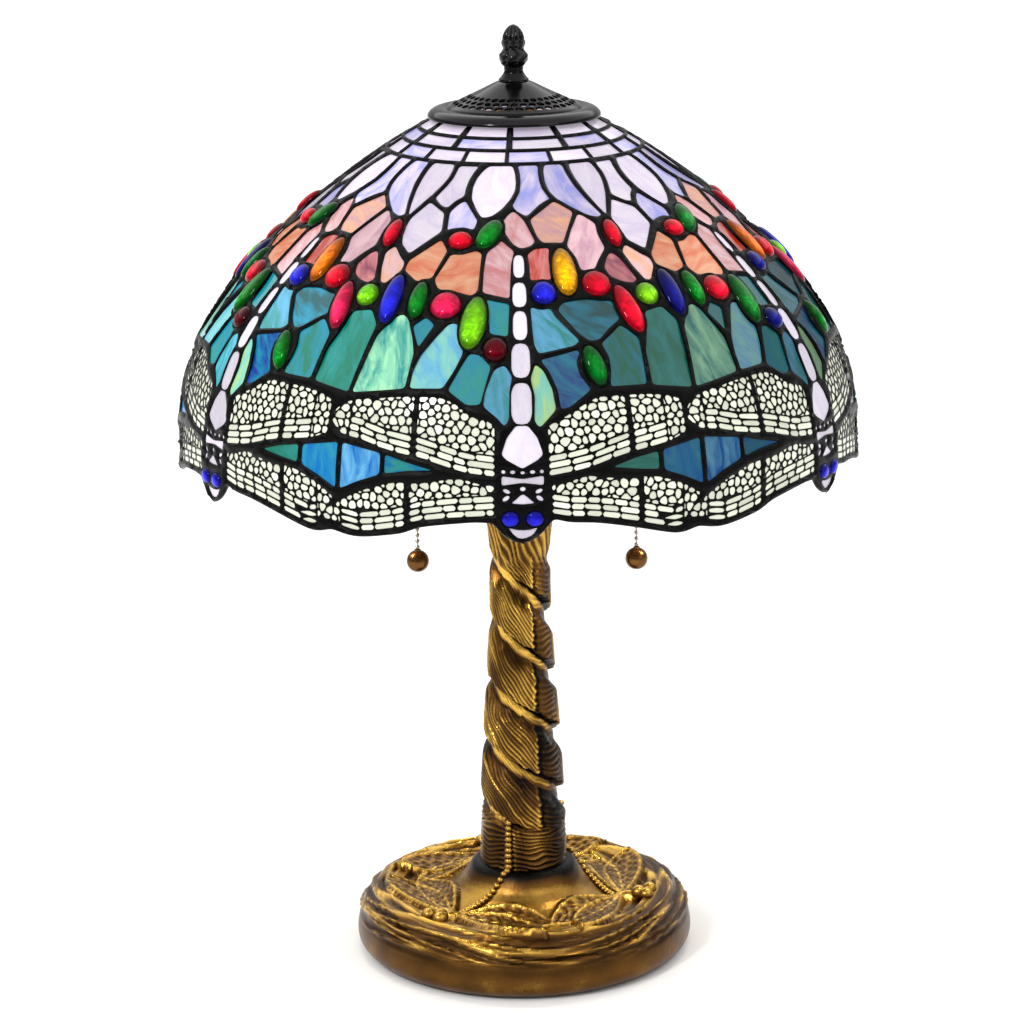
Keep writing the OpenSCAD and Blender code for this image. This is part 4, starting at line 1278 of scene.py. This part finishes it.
def build_post(material):
    """The twisted post: bands of leaf that wind down two at a time, as one spiral sheet of rows."""
    cols, drop = 200, 2 * BAND
    # heights of the rows within a band, as shares of it from its lower edge
    share = [0.0, 0.015] + [0.04 + 0.64 * i / 38 for i in range(39)] + [0.70 + 0.02 * i for i in range(15)]
    bands = int((POST_TOP - POST_LOW + drop) / BAND) + 3
    start = POST_LOW - BAND
    first = start - (start % BAND) + 6.0
    rows = bands * len(share)
    verts, faces, values = [], [], []
    for row in range(rows):
        band, j = divmod(row, len(share))
        u = share[j]
        for col in range(cols):
            phi = TAU * col / cols
            z = first + (band + u) * BAND
            # the leaf's lower edge is torn, and the undercut below follows it
            near = smoothstep(0.25, 0.0, u) + smoothstep(0.93, 0.98, u)
            seat = math.floor(z / BAND + 0.3)
            tear = 1.7 * wander(math.cos(phi) * 6 + seat * 5, math.sin(phi) * 6, 0.3)
            z = min(POST_TOP, max(POST_LOW, z - drop * col / cols + near * tear))
            h, value = post_relief(phi, u, z, band - 2 * col // cols)
            r = float(np.interp(z, POST_Z, POST_RADIUS)) + h
            verts.append((r * math.sin(phi), -r * math.cos(phi), z))
            values.append(value)
    for row in range(rows - 1):
        for col in range(cols):
            a, b = row * cols + col, (row + 1) * cols + col
            # after a full turn the sheet meets its own rows two bands down
            seam = cols * (1 + 2 * len(share)) if col == cols - 1 else 0
            q = [a, a + 1 - seam, b + 1 - seam, b]
            if q[1] < 0:
                continue
            heights = [verts[i][2] for i in q]
            if max(heights) - min(heights) >= 1e-6:
                faces.append(q)
    # the dragonflies' tails climb the post
    for k, turn in enumerate(TAIL_TURN):
        a = math.radians(FIRST_AT + turn + 120 * k)
        for i in range(9):
            z = FOOT_TOP + 1.5 + i * 3.9
            r = float(np.interp(z, POST_Z, POST_RADIUS)) + 0.2
            bead(verts, faces, values, (r * math.sin(a), -r * math.cos(a), z), 2.9 - 0.06 * i, 10, 0.9)
    ob = make("twisted_post", np.array(verts) * MM, faces, "stand", material,
              ("post_casting",), 55)
    set_relief(ob, values)
    clean(ob, thinnest=0.01 * MM)


# wing tips of a relief dragonfly, from its own axis and from the lamp's, and how wide the wings are
FORE_WING, HIND_WING = ((73.0, 59.0), 14.5), ((66.0, 36.0), 12.5)
THORAX = 70.0      # where its wings meet, from the lamp's axis
NONE = (-9, 0)


def wing_relief(x, y, wing, side):
    """Relief and patina of one cast wing at (x, y) in the dragonfly's own plan."""
    (tip_x, tip_y), half = wing
    ax, ay = tip_x * side, tip_y - THORAX
    ln = math.hypot(ax, ay)
    ux, uy = ax / ln, ay / ln
    a = x * ux + (y - THORAX) * uy
    # the wings bow with the ring they lie on
    b = (y - THORAX) * ux - x * uy + side * 0.0022 * a * (ln - a)
    t = a / ln
    if not -0.05 < t < 1.08:
        return NONE
    w = half * max(0.0, math.sin(math.pi * min(1, max(0, t * 0.93 + 0.04)) ** 1.35)) ** 0.75
    d = w - abs(b)
    if d < -1.2:
        return NONE
    if d < 0:
        return (1 + d / 1.2) * 3.2, 0.05 + 0.6 * (1 + d / 1.2)
    border = bump_at(d - 1.2, 1.0)
    cell = math.sin(a * 0.72 + 1.6 * math.sin(b * 0.4)) * math.sin(b * 0.85 + 0.9 * math.sin(a * 0.25))
    vein = max(bump_at(b - 0.25 * w, 0.7), bump_at(b + 0.35 * w, 0.7))
    h = 2.6 + 1.5 * border + 0.8 * vein + 0.7 * cell * (1 - border) * (1 - vein)
    return h, min(1, 0.42 + 0.45 * border + 0.18 * vein + 0.14 * cell)


def dragonfly_relief(phi, r, h, value):
    """Relief and patina with the cast dragonflies laid over them."""
    for k in range(DRAGONFLIES):
        d = (math.degrees(phi) - (FIRST_AT + 120 * k) + 180) % 360 - 180
        if abs(d) > 75:
            continue
        x, y = r * math.sin(math.radians(d)), r * math.cos(math.radians(d))
        for side in (-1, 1):
            hind, patina = wing_relief(x, y, HIND_WING, side)
            if hind > -1 and hind + 0.2 > h:
                h, value = max(hind, h * 0.3), patina
            fore, patina = wing_relief(x, y, FORE_WING, side)
            if fore > -1 and fore + 0.9 > h:
                h, value = fore + 0.9, patina
        e = math.hypot(x / 5.2, (y - THORAX - 4) / 11.0)
        if e < 1 and 6.2 * math.sqrt(1 - e * e) > h:
            h, value = 6.2 * math.sqrt(1 - e * e), 0.5 + 0.5 * math.sqrt(1 - e * e)
    return h, value


def foot_relief(phi, r, z, s):
    """Relief and patina of the foot, with painted shade round the post's foot, s mm along its outline from
    where the roll begins.
    """
    x, y = r * math.sin(phi), -r * math.cos(phi)
    h, value = 0.0, 0.4 + 0.1 * smoothstep(16, 40, s) + 0.12 * wander(x * 0.05, y * 0.05, z * 0.05)
    # plain roll, browner where it turns up
    value -= 0.12 * smoothstep(0, 12, s) * smoothstep(40, 16, s)
    if s > 4:
        # reeds and water: long ridges that run round the ring, part and meet again
        fade = smoothstep(9, 16, s) * (1 - smoothstep(50, 60, s))
        cx, cy = math.cos(phi), math.sin(phi)
        bend = s + 5.0 * math.sin(3 * phi + 0.9) * smoothstep(60, 20, s)
        line = max(0.0, 1 - abs(wander(bend * 0.165, cx * 1.3 + 4, cy * 1.3)) * 3.2)
        thin = max(0.0, 1 - abs(wander(bend * 0.38 + 9, cx * 1.9, cy * 1.9)) * 2.8)
        h += fade * (2.7 * line ** 0.8 + 1.0 * thin - 0.9)
        value = max(0.17, value + fade * (0.6 * line + 0.3 * thin - 0.36))
    if r < 108 and s > 10:
        h, value = dragonfly_relief(phi, r, h, value)
    if r < 60:
        # painted shade and dark patina gather round the post's foot
        value -= 0.8 * (1 - smoothstep(32, 42, r))
    return h + 0.12 * wander(x * 0.4, y * 0.4, z * 0.4), min(1, max(-0.3, value))


def quarter_of(centre_r, centre_z, rx, rz, degrees):
    """Points of the foot's outline on a round stretch."""
    turns = [math.radians(a) for a in degrees]
    return [(centre_r + rx * math.cos(a), centre_z + rz * math.sin(a)) for a in turns]


# the foot's outline from its ring in to the post: radius, height
FOOT_DISH = [(91, 39.6), (84, 37.6), (77, 35.6), (70, 34.6), (63, 35.4), (57, 37.3), (51, 40.2), (46, 43.8),
             (42, 48.0), (38.5, 53.5), (35.5, 58.5), (32.5, 60.6), (26, 61.2)]


def place_on_dish(degrees, r, lift):
    """A point over the foot's dish, from the front and out from the axis."""
    inwards = [*reversed(FOOT_DISH), (95.5, 40.0)]
    z = float(np.interp(r, [p[0] for p in inwards], [p[1] for p in inwards]))
    a = math.radians(degrees)
    return r * math.sin(a), -r * math.cos(a), z + lift


def build_foot(material):
    """The round foot with its reeds and dragonflies."""
    low = [(99.6, 3.0), (99.6, 0.9),
           (103.5, 0.3)] + quarter_of(FOOT_R - 12.5, 12, 12.5, 11.5, range(-75, 0, 15))
    outline = quarter_of(FOOT_R - 20, 12, 20, 28, range(0, 91, 6)) + FOOT_DISH
    along = np.concatenate([[0], np.cumsum([math.dist(p, q) for p, q in zip(outline, outline[1:])])])
    at = np.linspace(0, along[-1], int(along[-1] / 1.35))
    path = low + list(zip(*(np.interp(at, along, [p[i] for p in outline]) for i in (0, 1))))
    measured = [-1.0] * len(low) + list(at)
    cols, rows = 440, len(path)
    verts, values = [], []
    for i, ((r, z), s) in enumerate(zip(path, measured)):
        a, b = path[max(0, i - 1)], path[min(rows - 1, i + 1)]
        ln = math.hypot(b[0] - a[0], b[1] - a[1]) or 1
        nr, nz = (b[1] - a[1]) / ln, -(b[0] - a[0]) / ln
        for j in range(cols):
            phi = TAU * j / cols
            h, value = foot_relief(phi, r, z, s)
            rr = r + nr * h
            verts.append((rr * math.sin(phi), -rr * math.cos(phi), z + nz * h))
            values.append(value)
    faces = round_quads(rows, cols)
    for k, turn in enumerate(TAIL_TURN):
        axis = FIRST_AT + 120 * k
        for off, r, lift, size in ((-3.5, 88.0, 2.6, 5.2), (3.5, 88.0, 2.6, 5.2), (0, 81.5, 3.2, 5.6)):
            bead(verts, faces, values, place_on_dish(axis + off, r, lift), size, 14, 0.75)
        for i in range(14):
            off, r = 1.0 + (turn - 1) * (i / 13) ** 1.5, 62.5 - 2.25 * i
            bead(verts, faces, values, place_on_dish(axis + off, r, 1.2), 2.5 - 0.01 * i, 10, 0.85)
    ob = make("relief_foot", np.array(verts) * MM, faces, "stand", material,
              ("foot_casting",), 60)
    set_relief(ob, values)
    clean(ob)


# the finial's outline from its foot up: radius, height
FINIAL = [(9.9, 0), (9.9, 0.9), (9.0, 1.5), (7.6, 3.2), (6.5, 5), (6.1, 6.8), (6.6, 7.6), (6.2, 8.4),
          (6.6, 9.2),
          (8.2, 11), (9.1, 13), (9.4, 15), (9.0, 16.8), (7.8, 18.6), (6.8, 20.2), (6.6, 21.2), (7.1, 22.6),
          (7.5, 24.2), (7.6, 25.6), (6.9, 26.2), (7.0, 27.2), (6.6, 29.2), (5.7, 31.4), (4.4, 33.4),
          (2.8, 35.1),
          (1.2, 36.0), (0.3, 36.2)]
FINIAL_H = 36.2


def finial_relief(phi, z, r):
    """Relief and patina: a knop of curled leaves, a ring of small ones, and a bud."""
    if 9.5 < z < 20.5:
        t = (z - 9.5) / 11
        leaf = abs(math.sin(4 * phi + 1.3 * math.sin(t * math.pi * 2)))
        curl = math.sin(8 * phi - t * 9)
        return (0.9 * leaf + 0.35 * curl - 0.6) * math.sin(math.pi * t) ** 0.6, 0.3 + 0.5 * leaf
    if 20.5 <= z < 26:
        leaf = abs(math.cos(5 * phi))
        return (0.9 * leaf - 0.5) * math.sin(math.pi * (z - 20.5) / 5.5) ** 0.7, 0.3 + 0.5 * leaf
    if z >= 26:
        leaf = abs(math.cos(6 * phi)) ** 0.7
        return (0.8 * leaf - 0.6) * max(0.0, 1 - (z - 26) / 10.2) ** 0.4 * min(1, r / 3), 0.25 + 0.6 * leaf
    return 0.0, 0.5


def build_finial(material):
    """The finial, with its two ends closed."""
    low, high = (v.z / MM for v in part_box("finial"))
    zs = np.linspace(0, FINIAL_H, 96)
    rs = np.interp(zs, [p[1] for p in FINIAL], [p[0] for p in FINIAL])
    rs = np.convolve(np.pad(rs, 1, mode="edge"), [0.25, 0.5, 0.25], "valid")
    rs[-1] = 0.25
    cols = 72
    verts, values = [], []
    for z, r in zip(zs, rs):
        for phi in [TAU * j / cols for j in range(cols)]:
            h, value = finial_relief(phi, z, r)
            rr = max(0.1, r + h)
            verts.append((rr * math.cos(phi), rr * math.sin(phi), low + z * (high - low) / FINIAL_H))
            values.append(value)
    faces = round_quads(len(zs), cols) + [list(range(cols))[::-1],
                                          list(range(len(verts) - cols, len(verts)))]
    ob = make("finial_cast", np.array(verts) * MM, faces, "finial", material, ("finial",), 50)
    set_relief(ob, values)


# the heat cap's outline: radius, height from its top; its pierced band is left open between two of the runs
CAP_WALL = 1.4
BAND_IN, BAND_OUT = (27.2, -8.3), (40.8, -14.8)
CAP_CONE = [(4.5, 0), (9.9, 0), (13, -1.3), (20, -4.8), BAND_IN]
CAP_ROLL = [BAND_OUT, (42.6, -15.7), (43.8, -16.3), (44.5, -17.2), (45.5, -17.0), (47.5, -16.7), (50, -16.8),
            (52.6, -17.5), (54.9, -18.8), (56.4, -20.5), (57.0, -21.9), (56.9, -22.8), (56.0, -22.9),
            (54.9, -21.0), (53.0, -19.5), (50, -18.4), (46, -18.4), (42, -17.0),
            (BAND_OUT[0], BAND_OUT[1] - CAP_WALL)]
CAP_UNDER = [(r, z - CAP_WALL) for r, z in reversed(CAP_CONE) if r != 9.9] + [(4.5, 0)]
HOLE_ROWS, HOLES, HOLE_SIDES = 3, 36, 16


def hole_outlines(row, k, cols, rng):
    """One tile of the pierced band and the hole in it, as (phi, r) points."""
    inner, outer = BAND_IN[0], BAND_OUT[0]
    low, high = inner + (outer - inner) * row / HOLE_ROWS, inner + (outer - inner) * (row + 1) / HOLE_ROWS
    step = TAU / cols
    start = step * (4 * k + 2 * (row % 2))
    tile = [(start + step * i, low) for i in range(4)]
    tile += [(start + 4 * step, low + (high - low) * i / 4) for i in range(4)]
    tile += [(start + step * (4 - i), high) for i in range(4)]
    tile += [(start, high - (high - low) * i / 4) for i in range(4)]
    wide, tall, lean = rng.uniform(0.38, 0.45), rng.uniform(0.40, 0.46), rng.uniform(-0.25, 0.25)
    hole = []
    for i in range(HOLE_SIDES):
        a = TAU * i / HOLE_SIDES + math.atan2(-1, -1)
        u, v = math.cos(a), math.sin(a)
        hole.append((start + 2 * step + 4 * step * wide * (u + lean * v),
                     (low + high) / 2 + (high - low) * tall * v))
    return tile, hole


def build_cap(material):
    """Heat cap: cone with three staggered rows of pierced holes, a step, and a rolled rim."""
    top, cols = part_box("heat_cap")[1].z / MM, 4 * HOLES
    verts, faces, values = [], [], []

    def point(phi, r, z, value=0.5):
        verts.append((r * math.cos(phi), r * math.sin(phi), top + z))
        values.append(value)
        return len(verts) - 1

    def on_band(r, drop):
        return BAND_IN[1] + (r - BAND_IN[0]) * (BAND_OUT[1] - BAND_IN[1]) / (BAND_OUT[0] - BAND_IN[0]) - drop

    for path in (CAP_CONE, CAP_ROLL, CAP_UNDER):
        loops = [[point(TAU * j / cols, r, z, 0.35 if 43.5 < r < 45 else 0.6) for j in range(cols)] for r,
                 z in path]
        for a, b in zip(loops, loops[1:]):
            faces += [[a[j], b[j], b[(j + 1) % cols], a[(j + 1) % cols]] for j in range(cols)]
    rng = np.random.default_rng(12)
    around = [(i, (i + 1) % HOLE_SIDES) for i in range(HOLE_SIDES)]
    for row in range(HOLE_ROWS):
        for k in range(HOLES):
            tile, hole = hole_outlines(row, k, cols, rng)
            rims = []
            for drop in (0, CAP_WALL):
                e = [point(phi, r, on_band(r, drop)) for phi, r in tile]
                h = [point(phi, r, on_band(r, drop), 0.3) for phi, r in hole]
                quads = [[e[i], e[j], h[j], h[i]] for i, j in around]
                faces += [q[::-1] for q in quads] if drop else quads
                rims.append(h)
            faces += [[rims[0][i], rims[0][j], rims[1][j], rims[1][i]] for i, j in around]
    ob = make("pierced_cap", np.array(verts) * MM, faces, "shade", material, ("heat_cap",),
              40)
    set_relief(ob, values)
    clean(ob, weld=0.02 * MM)


def antique_material(name, stain, dark, mid, bright, rough=0.34, metallic=0.9, bump=0.3):
    """Cast metal, dark in its recesses and rubbed bright on its ridges, with the painted light and shade that
    its relief values carry.
    """
    m = Mat(name)
    co = m.coords()
    grain = m.noise(co, 900, 3, 0.6)
    fac = m.sum_of((m.attribute("relief", "Fac"), 0.8), (m.noise(co, 45, 4, 0.6), 0.22), (grain, 0.12))
    m.feed(Base_Color=m.ramp(fac, [(0.06, stain), (0.20, dark), (0.50, mid), (0.86, bright)]),
           Roughness=m.ramp(fac, [(0.2, grey(rough + 0.12)), (0.9, grey(rough - 0.06))]))
    m.set(Metallic=metallic)
    m.bump(grain, bump, 0.0004)
    return m.m


gold = antique_material("antique gold casting", (0.010, 0.009, 0.012), (0.072, 0.043, 0.020),
                        (0.37, 0.245, 0.085), (0.90, 0.71, 0.31), 0.27)
bronze_dark = antique_material("dark bronze casting", (0.008, 0.008, 0.008), (0.012, 0.011, 0.011),
                               (0.03, 0.027, 0.028), (0.18, 0.17, 0.18), 0.12, 0.85, 0.1)
build_post(gold)
build_foot(gold)
build_finial(bronze_dark)
build_cap(bronze_dark)


# ---------------------------------------------- finishes of the CAD's own nodes


def bulb_material():
    """Frosted glass with a light inside."""
    m = Mat("frosted bulb")
    frost = m.noise(m.coords(), 30, 3, 0.5)
    colour = m.ramp(frost, [(0.3, (1.0, 0.93, 0.78)), (0.7, (1.0, 0.97, 0.88))])
    m.feed(Base_Color=colour, Emission_Color=colour)
    m.set(Roughness=0.35, Emission_Strength=2.2, IOR=1.45)
    m.bump(frost, 0.05, 0.0005)
    return m.m


# slot: name, light colour, dark colour, roughness, metal, noise scale, spread, bump
METALS = {
    "dark_bronze": ("dark bronze", (0.05, 0.045, 0.043), (0.018, 0.016, 0.016), 0.24, 0.85, 70, 0.6, 0.2),
    "polished_brass": ("brass", (0.80, 0.62, 0.30), (0.62, 0.45, 0.20), 0.25, 1.0, 60, 0.6, 0.1),
    "zinc_steel": ("zinc steel", (0.66, 0.67, 0.70), (0.48, 0.50, 0.52), 0.32, 1.0, 90, 0.6, 0.1),
    "bead_steel": ("bead steel", (0.74, 0.72, 0.68), (0.50, 0.48, 0.45), 0.22, 1.0, 200, 0.6, 0.05),
    "ball_bronze": ("ball bronze", (0.50, 0.34, 0.17), (0.24, 0.155, 0.09), 0.2, 0.95, 90, 0.6, 0.05),
    "cast_weight": ("rough cast iron", (0.26, 0.26, 0.27), (0.14, 0.14, 0.15), 0.6, 0.7, 120, 0.6, 0.6),
    "bulb_metal": ("bulb cap", (0.78, 0.79, 0.80), (0.58, 0.59, 0.60), 0.28, 1.0, 110, 0.6, 0.1),
}
# slot: name, light colour, dark colour, roughness, noise scale, bump
OTHERS = {
    "felt": ("green felt", (0.12, 0.30, 0.17), (0.08, 0.20, 0.11), 0.95, 400, 0.6),
    "rubber_black": ("black rubber", (0.09, 0.09, 0.09), (0.05, 0.05, 0.05), 0.7, 150, 0.2),
    "wire_insulation": ("wire cover", (0.19, 0.15, 0.12), (0.12, 0.09, 0.07), 0.55, 200, 0.1),
    "wire_nut_plastic": ("orange plastic", (0.90, 0.48, 0.12), (0.74, 0.36, 0.07), 0.45, 160, 0.1),
    "switch_plastic": ("phenolic", (0.16, 0.12, 0.10), (0.09, 0.07, 0.06), 0.4, 140, 0.15),
    "liner_board": ("fibre board", (0.27, 0.22, 0.17), (0.18, 0.14, 0.11), 0.85, 220, 0.3),
    "lever_plastic": ("cream plastic", (0.84, 0.80, 0.70), (0.74, 0.70, 0.60), 0.45, 160, 0.1),
}


def finish_nodes():
    """A finish for each CAD node that is still seen."""
    finishes = {slot: metal_material(*row) for slot, row in METALS.items()}
    finishes.update({slot: plain_material(*row) for slot, row in OTHERS.items()})
    finishes["bulb_glass"] = bulb_material()
    slots = {row["node"]: row["material_slot"] for row in frame["record"]["subparts"]}
    for node, ob in frame["nodes"].items():
        if ob.hide_render:
            continue
        ob.data.materials.clear()
        ob.data.materials.append(finishes[slots[node]])
        ob.data.polygons.foreach_set("use_smooth", [True] * len(ob.data.polygons))
        ob.data.set_sharp_from_angle(angle=math.radians(35))


# ------------------------------------------------------ floor, light and camera


def in_scene(name, data):
    ob = bpy.data.objects.new(name, data)
    bpy.context.scene.collection.objects.link(ob)
    return ob


def area_light(name, at, aim, size, power):
    """A rectangular light, size wide and high in metres."""
    data = bpy.data.lights.new(name, "AREA")
    data.shape, data.size, data.size_y = "RECTANGLE", *size
    data.energy = power
    ob = in_scene(name, data)
    ob.location = at
    ob.rotation_euler = (Vector(aim) - Vector(at)).to_track_quat("-Z", "Y").to_euler()


def bulb_light(bulb):
    """A small warm light for a bulb, just clear of its glass."""
    data = bpy.data.lights.new(bulb + "_glow", "POINT")
    data.energy, data.color, data.shadow_soft_size = 0.7, (1.0, 0.86, 0.64), 0.012
    low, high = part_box(bulb)
    in_scene(bulb + "_glow", data).location = ((low.x + high.x) / 2, (low.y + high.y) / 2, low.z - 0.03)


def build_stage():
    """A wide pale floor under a bright ceiling, with a key light and a weak fill."""
    reach = 30
    me = bpy.data.meshes.new("floor")
    me.from_pydata([(-reach, -reach, 0), (reach, -reach, 0), (reach, reach, 0), (-reach, reach, 0)], [],
                   [(0, 1, 2, 3)])
    m = Mat("pale floor")
    m.feed(Base_Color=m.ramp(m.noise(m.coords(), 3, 2), [(0.3, (0.945,) * 3), (0.7, (0.95,) * 3)]))
    m.set(Roughness=0.85)
    me.materials.append(m.m)
    in_scene("floor", me)
    world = bpy.data.worlds.new("studio")
    world.use_nodes = True
    background = world.node_tree.nodes["Background"]
    background.inputs["Color"].default_value = grey(1)
    background.inputs["Strength"].default_value = 0.42
    bpy.context.scene.world = world
    area_light("key", (-1.3, -1.9, 1.9), (0, 0, 0.35), (0.28, 0.42), 28)
    area_light("fill", (1.7, -1.5, 1.2), (0, 0, 0.35), (1.0, 1.4), 5)
    area_light("ceiling", (0, 2.0, 5.0), (0, 2.0, 0), (18, 18), 1200)
    for bulb in ("left_bulb_glass", "right_bulb_glass"):
        bulb_light(bulb)


def build_camera():
    """The photo's camera, tilted down and turned a little in its frame."""
    tilt, roll = 0.2583, 0.0125
    data = bpy.data.cameras.new("camera")
    data.sensor_width, data.lens, data.shift_x = 36, 117.4, -0.007
    data.clip_start, data.clip_end = 0.1, 100
    ob = in_scene("camera", data)
    ob.location = (0, -2.1774, 0.8826)
    look = Matrix.Rotation(math.pi / 2 - tilt, 4, "X") @ Matrix.Rotation(-roll, 4, "Z")
    ob.rotation_euler = look.to_euler()
    bpy.context.scene.camera = ob


finish_nodes()
build_stage()
build_camera()
bpy.context.scene.view_settings.view_transform = "Standard"
